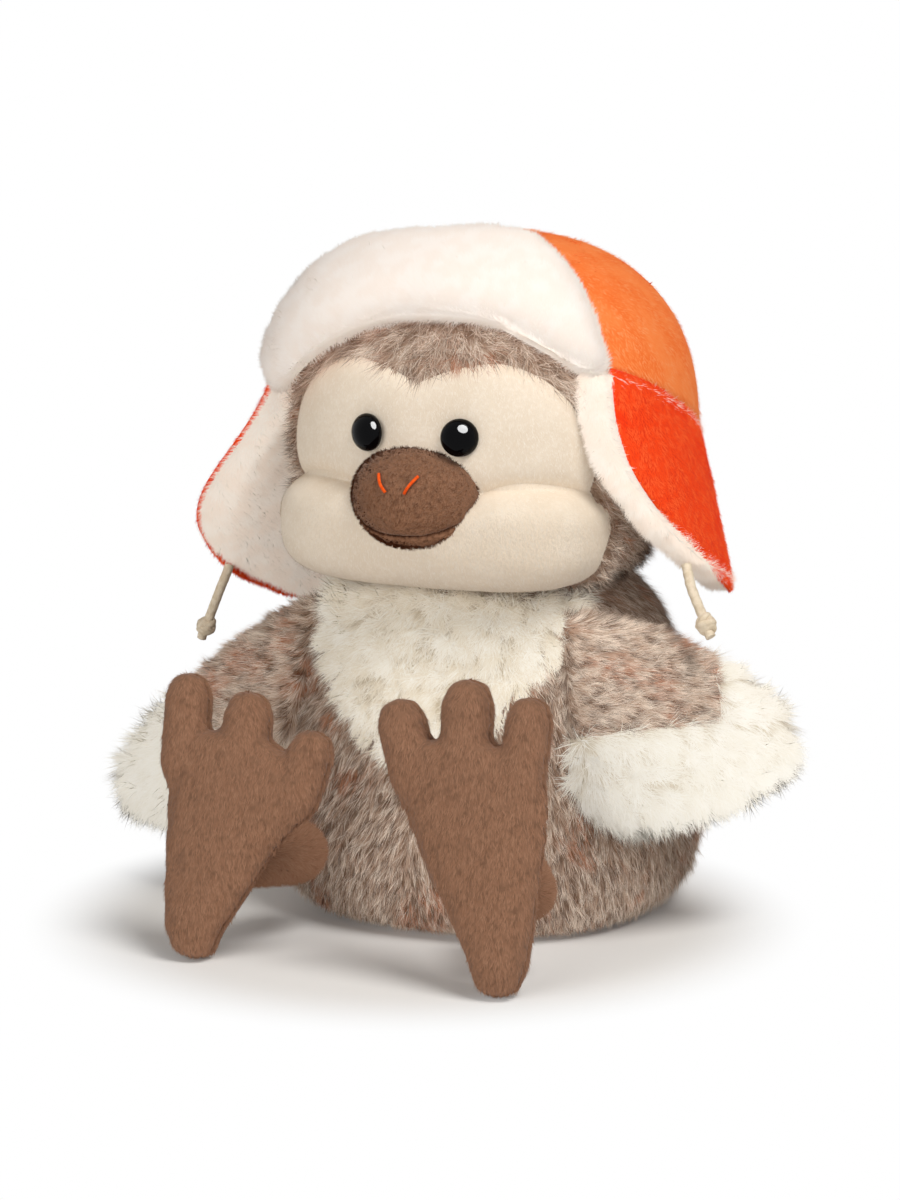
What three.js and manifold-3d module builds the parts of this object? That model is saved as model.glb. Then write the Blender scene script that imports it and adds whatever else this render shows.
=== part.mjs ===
// A seated plush sparrow in a trapper hat. Millimetres, +Z up, the bird faces -Y and its left side is +X.
// The origin is the middle of the flat seat that it sits on.

import * as THREE from 'three';
import { mergeVertices } from 'three/addons/utils/BufferGeometryUtils.js';
import Module from 'manifold-3d';

const wasm = await Module();
wasm.setup();

// Clearances and fabric thicknesses
const gap = 0.3; // between two pieces that touch
const skin = 2.4; // fur fabric or minky with its backing
const hatEase = 1; // between the head and the hat's lining
const liningWall = 2.4;
const crownWall = 2.5;

// Torso: height, half width, half depth of each station of the egg-shaped body
const torsoCentreY = 5;
const torsoPower = 2.3;
const torsoStations = [
  [0, 50, 48], [3, 58, 55], [12, 66, 62], [30, 70, 65], [50, 68, 63], [70, 64, 59],
  [88, 60, 54], [100, 55, 50], [109, 47, 43], [116, 38, 35], [123, 28, 26],
];
const seatHalfX = 48;
const seatHalfY = 46;
const pouchHalfX = 42;
const pouchHalfY = 40;
const pouchHeight = 22;

// Head, with the swelling cheeks of the muzzle
const neckHeight = 111; // lowest point of the head's own form
const headHalfX = 62;
const headHalfY = 57;
const headUp = 55.5;
const headDown = 49;
const headY = 2;
const formPower = 2.3;
const muzzleHalfX = 57;
const muzzleHalfY = 46;
const muzzleUp = 20;
const muzzleDown = 22;
const muzzleDrop = 29; // centre of the muzzle below the centre of the head
const muzzleY = -12;
const muzzlePower = 3.2;
const neckOpening = 26;

// Face, in a front view from the middle of the head
const eyeAcross = 30.8;
const eyeHeight = 2.5; // above the head's centre
const eyeDiameter = 12;
const eyeDome = 4.8;
const shankDiameter = 3;
const shankLength = 11;
const washerDiameter = 12;
const washerWall = 1.5;
const washerDrop = 1.8; // behind the face's backing, which curves over the washer
const browPoints = [[0, 19.5], [12, 24.2], [26, 26.2], [38, 22], [46.5, 14], [52, 2], [53, -8], [51, -16]];
const creasePoints = [[51, -16], [43, -12.9], [33, -12], [24, -14.5], [18, -18.8], [0, -20]];
const cheekPoints = [[51, -16], [54.5, -20], [55.7, -28], [54.8, -38], [50, -48], [36, -55], [0, -57]];
const beakHalfX = 21.6;
const beakReach = 18.4;
const beakPower = 2.1;
const beakUp = 16.5;
const beakDown = 17.4;
const beakBelowEyes = 19.5;
const mouthSlope = 34;
const mouthCorner = -18.8; // height of the mouth's corners from the head's centre
const stitchDiameter = 1.1;
const stitchTop = [6.6, -8.8];
const stitchFoot = [3.2, -13.6];

// Chest bib, in a front view
const bibPoints = [[40, 124], [42, 104], [40, 95], [35, 84], [27.5, 74], [16, 63], [0, 55]];

// Hat
const hatRoll = 3.8; // the hat sits a little lower on the bird's right
const rimArch = [[-70, 20], [-58, 20], [-49, 22], [-35, 31], [-24, 37], [-13, 40.5], [0, 42], [18, 41.5], [32, 37.5],
  [45, 30.5], [55, 23.5], [62, 20], [70, 20]]; // front of the rim, across and up
const rimDepth = 90;
const visorPuff = 8;
const visorEdge = 2.6;
const visorCentre = [0, 55];
// Azimuth and elevation of the visor's outline about the middle of the head
const visorPoints = [
  [0, 36], [18, 34.5], [31, 30.5], [41, 23.5], [50, 17], [56, 17], [57, 27], [58, 40], [58, 52], [54, 63], [30, 70],
  [0, 71], [-30, 69], [-54, 62], [-62, 50], [-63, 36], [-61, 24], [-56, 16], [-49, 14.5], [-42, 17], [-33, 24],
  [-22, 30.5], [-11, 34.5],
];
const hingeFront = [-34, 20];
const hingeBack = [45, -12];
const flapPoints = [
  [-34, 20], [-36, 2], [-33, -14], [-22, -30.5], [-3, -46], [12, -53.5], [23, -57.5], [34, -54], [42, -38], [45, -12],
];
const flapWall = 2.5;
const flapLiningEdge = 6;
const flapLiningPuff = 9.5;
const flapLiningProud = { left: 3.5, right: 0 }; // lining beyond the free edge of the orange layer
const flapLiningWrap = { left: 2, right: 0 }; // lining rolled up round that edge
const flapStretch = { left: 1, right: 1.09 };
const flapLean = 0.17;
const flapSplay = { left: 0, right: 30 }; // how far the lower front corner stands out
const flapOpen = { left: 0, right: 9 }; // degrees
const flapHingeOut = 1.5; // hinge line outside the crown

// Tie cords: where each leaves the flap's edge, and its route from its round root to the knot
const cordDiameter = 3.3;
const knotDiameter = 6.8;
const cordSeat = { left: -13.5, right: -7.5 };
const cordSteps = {
  left: [[0, 0, 0], [1.4, -1.9, -2.6], [3.8, -5.2, -6.4], [8.3, -8.1, -13.6]],
  right: [[0, 0, 0], [-0.7, -1, -3], [-2.7, -1.9, -8.3], [-6.8, -1.8, -18]],
};

// Wings: outline along the wing and up it, from the shoulder's edge
const wingPoints = [
  [0, 46], [16, 44.5], [32, 39], [46, 30.5], [60, 20], [70, 8], [73, 1], [70, -6], [59, -12.5], [43, -17],
  [24, -20], [7, -18], [0, -8], [-2, 18],
];
const wingCentre = [36, 12];
const wingPuff = 9;
const wingEdge = 2;
const wingPatch = [47, 8]; // the brown patch ends at this length and starts at this height
const wingRootAngle = 47; // where the wing is sewn, from the front of the body
const wingRootLow = 60;
const wingRootHigh = 100;
const wingRootProud = 2.6; // root line outside the body
const wingBack = { left: 43.6, right: 25.4 }; // degrees, swept back from straight out
const wingDroop = { left: 0, right: 0.5 };
const wingBackLimit = 54;
const wingFrontLimit = 10;

// Legs and feet
const legDiameter = 19;
const hipX = 38;
const hipHeight = 27;
const ankleHeight = 28;
const footThick = 17;
const heelY = -104;
const footShift = -3.5; // both feet lie a little to the bird's right
const feet = {
  left: {
    lean: 9, ankleX: 50,
    palm: [[0, 53.4, 0], [2.5, 53.5, 6.5], [10, 53.4, 9.2], [22, 50.7, 13.6], [36, 46.6, 19.2],
      [50, 43.6, 23.6], [61, 40.5, 26.8], [69, 38.5, 26], [75, 38, 16]],
    toes: [[22, 64, 16.4, 80.6, 8], [38.4, 64, 38, 88, 8.4], [57, 64, 58.4, 85, 7.6]],
  },
  right: {
    lean: 13, ankleX: 47,
    palm: [[0, 49.8, 0], [2.5, 50, 6.5], [10, 50.6, 9.6], [22, 47.6, 14.4], [36, 44.5, 19.6],
      [48, 40, 25], [58, 38.6, 27.6], [64, 40, 25.6], [70, 44, 15]],
    toes: [[19.6, 53, 15.8, 68.2, 7.8], [38.4, 58, 38.6, 78, 8.2], [59.6, 60, 60, 82.4, 7.8]],
  },
};

// Tail, short and flat behind the seat
const tailPoints = [[-15, 0], [-17, 14], [-18, 30], [-15, 42], [-6, 46], [6, 46], [15, 42], [18, 30], [17, 14], [15, 0]];
const tailCentre = [0, 22];
const tailPuff = 6.5;
const tailEdge = 2;
const tailHeight = 19;
const tailDrop = 12; // degrees
const tailLift = 25; // how far it can be raised

const headZ = neckHeight + headDown;
const degrees = Math.PI / 180;
const sides = ['left', 'right'];
const signOf = { left: 1, right: -1 };

// Mesh helpers

function meshOf(points, triangles) {
  const geometry = new THREE.BufferGeometry();
  geometry.setAttribute('position', new THREE.Float32BufferAttribute(points.flatMap((p) => p.toArray()), 3));
  geometry.setIndex(triangles);
  return facingOut(geometry);
}

// Turns every triangle over if the closed mesh is inside out.
function facingOut(geometry) {
  const position = geometry.getAttribute('position');
  const index = Array.from(geometry.index.array);
  const [a, b, c] = [new THREE.Vector3(), new THREE.Vector3(), new THREE.Vector3()];
  let volume = 0;
  for (let i = 0; i < index.length; i += 3) {
    a.fromBufferAttribute(position, index[i]);
    b.fromBufferAttribute(position, index[i + 1]);
    c.fromBufferAttribute(position, index[i + 2]);
    volume += a.dot(b.cross(c));
  }
  if (volume < 0) {
    for (let i = 0; i < index.length; i += 3) [index[i + 1], index[i + 2]] = [index[i + 2], index[i + 1]];
  }
  geometry.setIndex(index);
  return geometry;
}

// Closed skin over rings of points, each ring with as many points, ended by a pole at each end.
function loft(rings, firstPole, lastPole) {
  const count = rings[0].length;
  const points = [...rings.flat(), firstPole, lastPole];
  const first = points.length - 2;
  const last = points.length - 1;
  const triangles = [];
  for (let j = 0; j < count; j += 1) {
    const k = (j + 1) % count;
    triangles.push(first, k, j);
    for (let i = 0; i + 1 < rings.length; i += 1) {
      const [here, above] = [i * count, (i + 1) * count];
      triangles.push(here + j, here + k, above + k, here + j, above + k, above + j);
    }
    const top = (rings.length - 1) * count;
    triangles.push(last, top + j, top + k);
  }
  return meshOf(points, triangles);
}

function superRadius(x, y, z, a, b, c, power) {
  return (Math.abs(x / a) ** power + Math.abs(y / b) ** power + Math.abs(z / c) ** power) ** (-1 / power);
}

// One level ring of a superellipse.
function levelRing(centreX, centreY, z, halfX, halfY, power, count) {
  return Array.from({ length: count }, (_, i) => {
    const [c, s] = [Math.cos((2 * Math.PI * i) / count), Math.sin((2 * Math.PI * i) / count)];
    const r = superRadius(c, s, 0, halfX, halfY, 1, power);
    return new THREE.Vector3(centreX + r * c, centreY + r * s, z);
  });
}

// A rounded body whose half height differs above and below its centre.
function blob(form, grow = 0, count = 24, levels = 10) {
  const [a, b] = [form.halfX + grow, form.halfY + grow];
  const at = (azimuth, elevation) => {
    const [ce, se] = [Math.cos(elevation), Math.sin(elevation)];
    const c = (se > 0 ? form.up : form.down) + grow;
    const [x, y, z] = [a * ce * Math.cos(azimuth), b * ce * Math.sin(azimuth), c * se];
    const r = superRadius(x, y, z, a, b, c, form.power);
    return new THREE.Vector3(form.x + r * x, form.y + r * y, form.z + r * z);
  };
  const rings = [];
  for (let i = 1; i < levels; i += 1) {
    const elevation = -Math.PI / 2 + (Math.PI * i) / levels;
    rings.push(Array.from({ length: count }, (_, j) => at((2 * Math.PI * j) / count, elevation)));
  }
  return loft(rings, at(0, -Math.PI / 2), at(0, Math.PI / 2));
}

// A puffed pad over a flat outline: each level is [share of the outline, low face, high face].
function pad(outline, centre, levels, place) {
  const ring = (share, h) => outline.map(([s, t]) => place(
    centre[0] + (s - centre[0]) * share,
    centre[1] + (t - centre[1]) * share,
    h,
  ));
  const inner = levels.filter(([share]) => share > 0);
  const rings = [
    ...inner.toReversed().map(([share, low]) => ring(share, low)),
    ...inner.map(([share, , high]) => ring(share, high)),
  ];
  const [, low, high] = levels.at(-1);
  return loft(rings, place(...centre, low), place(...centre, high));
}

// A round stuffed tube with domed ends, flattened across its thickness if asked.
function spindle(from, to, radiusFrom, radiusTo, count = 12, steps = 3) {
  const length = from.distanceTo(to);
  const rings = [];
  const ring = (z, r) => Array.from({ length: count }, (_, i) => {
    const angle = (2 * Math.PI * i) / count;
    return new THREE.Vector3(r * Math.cos(angle), r * Math.sin(angle), z);
  });
  for (let i = 1; i <= steps; i += 1) {
    const angle = (Math.PI / 2) * (1 - i / steps);
    rings.push(ring(-radiusFrom * Math.sin(angle), radiusFrom * Math.cos(angle)));
  }
  for (let i = 0; i < steps; i += 1) {
    const angle = ((Math.PI / 2) * i) / steps;
    rings.push(ring(length + radiusTo * Math.sin(angle), radiusTo * Math.cos(angle)));
  }
  const geometry = loft(rings, new THREE.Vector3(0, 0, -radiusFrom), new THREE.Vector3(0, 0, length + radiusTo));
  const direction = to.clone().sub(from).normalize();
  geometry.applyQuaternion(new THREE.Quaternion().setFromUnitVectors(new THREE.Vector3(0, 0, 1), direction));
  return geometry.translate(from.x, from.y, from.z);
}

// Extrudes an outline of x and z along Y, from the back to the front.
function frontPrism(outline, backY, frontY) {
  const shape = new THREE.Shape(outline.map(([x, z]) => new THREE.Vector2(x, z)));
  const geometry = new THREE.ExtrudeGeometry(shape, { depth: backY - frontY, bevelEnabled: false });
  return geometry.rotateX(Math.PI / 2).translate(0, backY, 0);
}

function sidePrism(outline, halfWidth) {
  const shape = new THREE.Shape(outline.map(([y, z]) => new THREE.Vector2(y, z)));
  const geometry = new THREE.ExtrudeGeometry(shape, { depth: 2 * halfWidth, bevelEnabled: false });
  return geometry.rotateX(Math.PI / 2).rotateZ(Math.PI / 2).translate(-halfWidth, 0, 0);
}

function smooth(points, count) {
  return new THREE.SplineCurve(points.map(([x, y]) => new THREE.Vector2(x, y))).getPoints(count)
    .map((p) => [p.x, p.y]);
}

const mirrored = (points) => points.map(([x, y]) => [-x, y]).reverse();

// Moves each corner of a closed outline inwards.
function inset(outline, distance) {
  const count = outline.length;
  const area = outline.reduce((sum, [x, y], i) => {
    const [u, v] = outline[(i + 1) % count];
    return sum + x * v - u * y;
  }, 0);
  return outline.map(([x, y], i) => {
    const before = outline[(i + count - 1) % count];
    const after = outline[(i + 1) % count];
    const along = new THREE.Vector2(after[0] - before[0], after[1] - before[1]).normalize();
    const turn = Math.sign(area) * distance;
    return [x - along.y * turn, y + along.x * turn];
  });
}

// Booleans

function solid(geometry) {
  const bare = new THREE.BufferGeometry();
  bare.setAttribute('position', geometry.getAttribute('position').clone());
  if (geometry.index) bare.setIndex(geometry.index.clone());
  const merged = mergeVertices(bare, 1e-4);
  return new wasm.Manifold(new wasm.Mesh({
    numProp: 3,
    vertProperties: new Float32Array(merged.getAttribute('position').array),
    triVerts: new Uint32Array(merged.index.array),
  }));
}

// The mesh of a cut body, without the crumbs that a cut can leave.
function geometryOf(body) {
  const mesh = body.decompose().sort((a, b) => b.volume() - a.volume())[0].getMesh();
  const geometry = new THREE.BufferGeometry();
  geometry.setAttribute('position', new THREE.BufferAttribute(new Float32Array(mesh.vertProperties), 3));
  geometry.setIndex(Array.from(mesh.triVerts));
  return geometry;
}

// Forms that several pieces share

const headForm = {
  x: 0, y: headY, z: headZ, halfX: headHalfX, halfY: headHalfY, up: headUp, down: headDown, power: formPower,
};
const muzzleForm = {
  x: 0, y: muzzleY, z: headZ - muzzleDrop, halfX: muzzleHalfX, halfY: muzzleHalfY,
  up: muzzleUp, down: muzzleDown, power: muzzlePower,
};
const headBody = (grow) => solid(blob(headForm, grow)).add(solid(blob(muzzleForm, grow, 24, 8)));

function torsoBody(grow) {
  const rings = torsoStations.map(([z, halfX, halfY], i) => {
    const height = i === 0 ? z - grow : z;
    return levelRing(0, torsoCentreY, height, halfX + grow, halfY + grow, torsoPower, 24);
  });
  const top = torsoStations.at(-1)[0];
  const centre = (z) => new THREE.Vector3(0, torsoCentreY, z);
  return solid(loft(rings, centre(rings[0][0].z), centre(top)));
}

function torsoHalves(z) {
  const above = torsoStations.findIndex(([height]) => height >= z);
  const [low, high] = [torsoStations[above - 1], torsoStations[above]];
  const share = (z - low[0]) / (high[0] - low[0]);
  return [low[1] + (high[1] - low[1]) * share, low[2] + (high[2] - low[2]) * share];
}

// The point of the torso's side at a height, at an angle from straight ahead.
function torsoPoint(z, angle) {
  const [halfX, halfY] = torsoHalves(z);
  const [x, y] = [Math.sin(angle * degrees), -Math.cos(angle * degrees)];
  const r = superRadius(x, y, 0, halfX, halfY, 1, torsoPower);
  return new THREE.Vector3(r * x, torsoCentreY + r * y, z);
}

function torsoFrontY(x, z) {
  const [halfX, halfY] = torsoHalves(z);
  return torsoCentreY - halfY * (1 - Math.abs(x / halfX) ** torsoPower) ** (1 / torsoPower);
}

// The point of a form's front over x and z, and the outward direction there.
function frontOf(form, x, z) {
  const c = z > form.z ? form.up : form.down;
  const [u, w] = [(x - form.x) / form.halfX, (z - form.z) / c];
  const v = -((1 - Math.abs(u) ** form.power - Math.abs(w) ** form.power) ** (1 / form.power));
  const slope = (value, half) => (Math.sign(value) * Math.abs(value) ** (form.power - 1)) / half;
  return {
    point: new THREE.Vector3(x, form.y + v * form.halfY, z),
    outward: new THREE.Vector3(slope(u, form.halfX), slope(v, form.halfY), slope(w, c)).normalize(),
  };
}

// Face outlines in a front view, closed and symmetric
const raised = (points) => points.map(([x, z]) => [x, z + headZ]);
const brow = smooth(raised(browPoints), 14);
const crease = smooth(raised(creasePoints), 12);
const cheek = smooth(raised(cheekPoints), 10);
const browOutline = [
  ...brow, ...crease.slice(1), ...mirrored(crease).slice(1), ...mirrored(brow).slice(1, -1),
];
const cheekOutline = [
  ...crease.toReversed(), ...cheek.slice(1), ...mirrored(cheek).slice(1), ...mirrored(crease.toReversed()).slice(1, -1),
];
const bibSide = smooth(bibPoints, 12);
const bibOutline = [...bibSide, ...mirrored(bibSide).slice(1)];
const faceBack = -4;
const farFront = -120;

// Pieces

const sparrow = new THREE.Group();
sparrow.name = 'plush_sparrow';

const colours = {
  fur: 0xa8907d, cream: 0xf1e6d2, face: 0xefe3cf, brown: 0x7d5a43, orange: 0xff5a1e, crown: 0xff7b3a,
  white: 0xf6efe6, cotton: 0xeadcc4, black: 0x0b0b0d, clear: 0xd8d8d4, stuffing: 0xf2f2ee, pouch: 0xd9d2c4,
};

function piece(name, geometry, colour, roughness = 0.95, parent = sparrow) {
  const material = new THREE.MeshStandardMaterial({ color: colours[colour], roughness, metalness: 0 });
  const mesh = new THREE.Mesh(geometry, material);
  mesh.name = name;
  parent.add(mesh);
  return mesh;
}

const headCutter = headBody(gap);

function makeTorso() {
  const shell = torsoBody(0).subtract(torsoBody(-skin)).subtract(headCutter);
  const seatDisc = (grow, low, high) => {
    const ring = (z) => levelRing(0, torsoCentreY, z, seatHalfX + grow, seatHalfY + grow, torsoPower, 24);
    const centre = (z) => new THREE.Vector3(0, torsoCentreY, z);
    return loft([ring(low), ring(high)], centre(low), centre(high));
  };
  const bibRegion = solid(frontPrism(bibOutline, torsoCentreY, farFront));
  const bibInner = solid(frontPrism(inset(bibOutline, gap), torsoCentreY, farFront));
  const fur = shell.subtract(solid(seatDisc(gap, -1, skin + 1))).subtract(bibRegion);
  piece('torso_fur', geometryOf(fur), 'fur');
  piece('chest_bib', geometryOf(shell.intersect(bibInner)), 'cream');
  piece('seat_panel', seatDisc(0, 0, skin), 'fur');

  const pouchLow = skin + gap;
  const pouchRings = (grow) => [[0, 0.8], [0.25, 0.97], [0.55, 1], [0.85, 0.8], [1, 0.4]].map(([up, wide], i) => {
    const z = pouchLow + up * pouchHeight + (i === 0 ? -grow * 2 : grow * up);
    return levelRing(0, torsoCentreY, z, pouchHalfX * wide + grow, pouchHalfY * wide + grow, torsoPower, 24);
  });
  const pouch = (grow) => {
    const rings = pouchRings(grow);
    const centre = (ring) => new THREE.Vector3(0, torsoCentreY, ring[0].z);
    return loft(rings, centre(rings[0]), centre(rings.at(-1)));
  };
  piece('pellet_pouch', pouch(0), 'pouch');
  const stuffing = torsoBody(-skin - gap).subtract(solid(pouch(gap))).subtract(headCutter);
  piece('torso_stuffing', geometryOf(stuffing), 'stuffing');
}

function eyeGeometry() {
  const seat = gap + 0.1;
  const [radius, shank] = [eyeDiameter / 2, shankDiameter / 2];
  const profile = [[0, -shankLength], [shank, -shankLength], [shank, seat], [radius, seat], [radius, seat + 0.6]];
  for (let i = 1; i < 4; i += 1) {
    const angle = (Math.PI / 2) * (i / 4);
    profile.push([radius * Math.cos(angle), seat + 0.6 + (eyeDome - 0.6) * Math.sin(angle)]);
  }
  profile.push([0, seat + eyeDome]);
  return facingOut(mergeVertices(lathe(profile, 16), 1e-4));
}

function lathe(profile, count) {
  const geometry = new THREE.LatheGeometry(profile.map(([r, y]) => new THREE.Vector2(r, y)), count);
  geometry.deleteAttribute('normal');
  geometry.deleteAttribute('uv');
  return geometry;
}

function makeHead() {
  const inner = headBody(-skin);
  const shell = headBody(0).subtract(inner);
  const neck = new THREE.CylinderGeometry(neckOpening, neckOpening, 40, 24)
    .rotateX(Math.PI / 2).translate(0, torsoCentreY, neckHeight - 10);
  const faceSpan = (outline) => solid(frontPrism(outline, faceBack, farFront));
  let stuffing = headBody(-skin - gap);
  let panel = shell.intersect(faceSpan(inset(browOutline, gap)));

  for (const side of sides) {
    const seat = frontOf(headForm, (signOf[side] * eyeAcross) / 2, headZ + eyeHeight);
    const turn = new THREE.Quaternion().setFromUnitVectors(new THREE.Vector3(0, 1, 0), seat.outward);
    const along = (geometry) => geometry.applyQuaternion(turn).translate(...seat.point.toArray());
    const drill = along(new THREE.CylinderGeometry(shankDiameter / 2 + gap, shankDiameter / 2 + gap, 20, 16));
    const pocketRadius = washerDiameter / 2 + gap;
    const pocketDepth = shankLength + gap - skin / 2;
    const pocket = along(new THREE.CylinderGeometry(pocketRadius, pocketRadius, pocketDepth, 16)
      .translate(0, -skin / 2 - pocketDepth / 2, 0));
    panel = panel.subtract(solid(drill));
    stuffing = stuffing.subtract(solid(pocket));

    const eye = piece(`eye_${side}`, eyeGeometry(), 'black', 0.05);
    eye.position.copy(seat.point);
    eye.quaternion.copy(turn);
    const washerBack = -skin - washerDrop - washerWall;
    const [bore, rim] = [shankDiameter / 2 + gap, washerDiameter / 2];
    const ring = [[bore, 0], [rim, 0], [rim, washerWall], [bore, washerWall], [bore, 0]];
    const washer = facingOut(mergeVertices(lathe(ring, 16), 1e-4));
    const washerMesh = piece(`eye_washer_${side}`, washer.translate(0, washerBack, 0), 'clear', 0.4);
    washerMesh.position.copy(seat.point);
    washerMesh.quaternion.copy(turn);
  }

  const fur = shell.subtract(faceSpan(browOutline)).subtract(faceSpan(cheekOutline)).subtract(solid(neck));
  piece('head_fur', geometryOf(fur), 'fur');
  piece('face_upper', geometryOf(panel), 'face');
  piece('face_muzzle', geometryOf(shell.intersect(faceSpan(inset(cheekOutline, gap))).subtract(solid(neck))), 'face');
  piece('head_stuffing', geometryOf(stuffing), 'stuffing');
}

function makeBeak() {
  const beakZ = headZ + eyeHeight - beakBelowEyes;
  const root = frontOf(headForm, 0, beakZ).point.y + skin;
  const form = {
    x: 0, y: root, z: beakZ, halfX: beakHalfX, halfY: beakReach, up: beakUp, down: beakDown, power: beakPower,
  };
  const whole = solid(blob(form, 0, 24, 10)).subtract(headCutter)
    .intersect(solid(new THREE.BoxGeometry(200, 100, 200).translate(0, root - 50, headZ)));
  const mouthHalf = (side) => {
    const box = new THREE.BoxGeometry(100, 100, 60).translate(0, 0, side * (30 + gap / 2));
    const mouth = frontOf(headForm, beakHalfX * 0.92, headZ + mouthCorner).point;
    return solid(box.rotateX(mouthSlope * degrees).translate(0, mouth.y, mouth.z));
  };
  piece('beak_upper', geometryOf(whole.intersect(mouthHalf(1))), 'brown');
  piece('beak_lower', geometryOf(whole.intersect(mouthHalf(-1))), 'brown');
  for (const side of sides) {
    const ends = [stitchTop, stitchFoot].map(([x, z]) => {
      const { point, outward } = frontOf(form, signOf[side] * x, headZ + z);
      return point.addScaledVector(outward, stitchDiameter / 2 + gap);
    });
    piece(`nostril_stitch_${side}`, spindle(...ends, stitchDiameter / 2, stitchDiameter / 2, 8, 2), 'orange', 0.6);
  }
}

// The hat turns about an axis along Y through the middle of the head.
const hatTurn = new THREE.Matrix4().makeTranslation(0, headY, headZ)
  .multiply(new THREE.Matrix4().makeRotationY(-hatRoll * degrees));
const rolled = (geometry) => solid(geometry.applyMatrix4(hatTurn));
const centred = (form) => ({ ...form, x: 0, y: 0, z: 0 });

function headColumn(grow) {
  const ring = (z) => levelRing(0, 0, z, headHalfX + grow, headHalfY + grow, formPower, 24);
  return loft([ring(-rimDepth), ring(0)], new THREE.Vector3(0, 0, -rimDepth), new THREE.Vector3(0, 0, 0));
}

const hatCup = (grow) => rolled(blob(centred(headForm), grow)).add(rolled(headColumn(grow)));

function hatShell(innerGrow, outerGrow) {
  const slope = (hingeBack[1] - hingeFront[1]) / (hingeBack[0] - hingeFront[0]);
  const behind = [hingeFront, [100, hingeFront[1] + slope * (100 - hingeFront[0])], [100, -150], [hingeFront[0], -150]];
  const ahead = [...rimArch, [70, -150], [-70, -150]];
  return hatCup(outerGrow).subtract(hatCup(innerGrow)).subtract(rolled(sidePrism(behind, 120)))
    .subtract(rolled(frontPrism(ahead, hingeFront[0] + 0.01, farFront)));
}

const crownGrow = hatEase + liningWall + gap + crownWall;

function makeHat() {
  piece('hat_lining', geometryOf(hatShell(hatEase, hatEase + liningWall).subtract(headCutter)), 'white');
  piece('hat_crown', geometryOf(hatShell(hatEase + liningWall + gap, crownGrow)), 'crown');

  const outline = smooth([...visorPoints, visorPoints[0]], 32).slice(0, -1);
  const place = (azimuth, elevation, h) => {
    const [ce, se] = [Math.cos(elevation * degrees), Math.sin(elevation * degrees)];
    const [x, y, z] = [ce * Math.sin(azimuth * degrees), -ce * Math.cos(azimuth * degrees), se];
    const [halfX, halfY, top] = [headHalfX, headHalfY, headUp].map((half) => half + crownGrow);
    const r = superRadius(x, y, z, halfX, halfY, top, formPower) + h;
    return new THREE.Vector3(r * x, r * y, r * z);
  };
  const levels = [[1, -gap, visorEdge], [0.93, -gap, 0.8 * visorPuff], [0.8, -gap, visorPuff], [0.45, -gap, visorPuff],
    [0, -gap, visorPuff]];
  const visor = rolled(pad(outline, visorCentre, levels, place)).subtract(hatCup(crownGrow + gap));
  piece('hat_visor', geometryOf(visor), 'white');
}

const rimHeight = (y) => {
  const share = (y - hingeFront[0]) / (hingeBack[0] - hingeFront[0]);
  return hingeFront[1] + (hingeBack[1] - hingeFront[1]) * share;
};

// Both flaps hang from a straight line just outside the crown, level with its rim.
function flapHinge(side) {
  const out = signOf[side] * (headHalfX + crownGrow + flapHingeOut);
  const [front, back] = [hingeFront, hingeBack].map(([y, z]) => new THREE.Vector3(out, y, z));
  return { pivot: front, along: back.sub(front).normalize() };
}

function flapTurn(side) {
  const { pivot, along } = flapHinge(side);
  const angle = -signOf[side] * flapOpen[side] * degrees;
  return new THREE.Matrix4().makeTranslation(...pivot.toArray())
    .multiply(new THREE.Matrix4().makeRotationAxis(along, angle))
    .multiply(new THREE.Matrix4().makeTranslation(...pivot.clone().negate().toArray()));
}

// Outline of a flap's orange layer in the hat's own frame, along Y and up.
function flapOutline(side) {
  const hinge = [0.75, 0.5, 0.25].map((t) => [
    hingeFront[0] + (hingeBack[0] - hingeFront[0]) * t,
    hingeFront[1] + (hingeBack[1] - hingeFront[1]) * t,
  ]);
  return [...smooth(flapPoints, 20), ...hinge]
    .map(([y, z]) => [y, rimHeight(y) - flapStretch[side] * (rimHeight(y) - z)]);
}

// The point of a flap over y and z, h outside its outer face.
function flapPlace(side) {
  const [halfX, halfY] = [headHalfX + crownGrow, headHalfY + crownGrow];
  const drop = Math.max(...flapPoints.map(([, z]) => -z));
  return (y, z, h) => {
    const down = Math.max(0, rimHeight(y) - z);
    const forward = Math.max(0, hingeBack[0] - y) / (hingeBack[0] - hingeFront[0]);
    const crownX = halfX * (1 - Math.min(0.9, Math.abs(y / halfY)) ** formPower) ** (1 / formPower);
    const splay = flapSplay[side] * (down / drop) ** 1.5 * forward ** 2;
    return new THREE.Vector3(signOf[side] * (crownX + flapLean * down + splay + h), y, z);
  };
}

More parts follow.
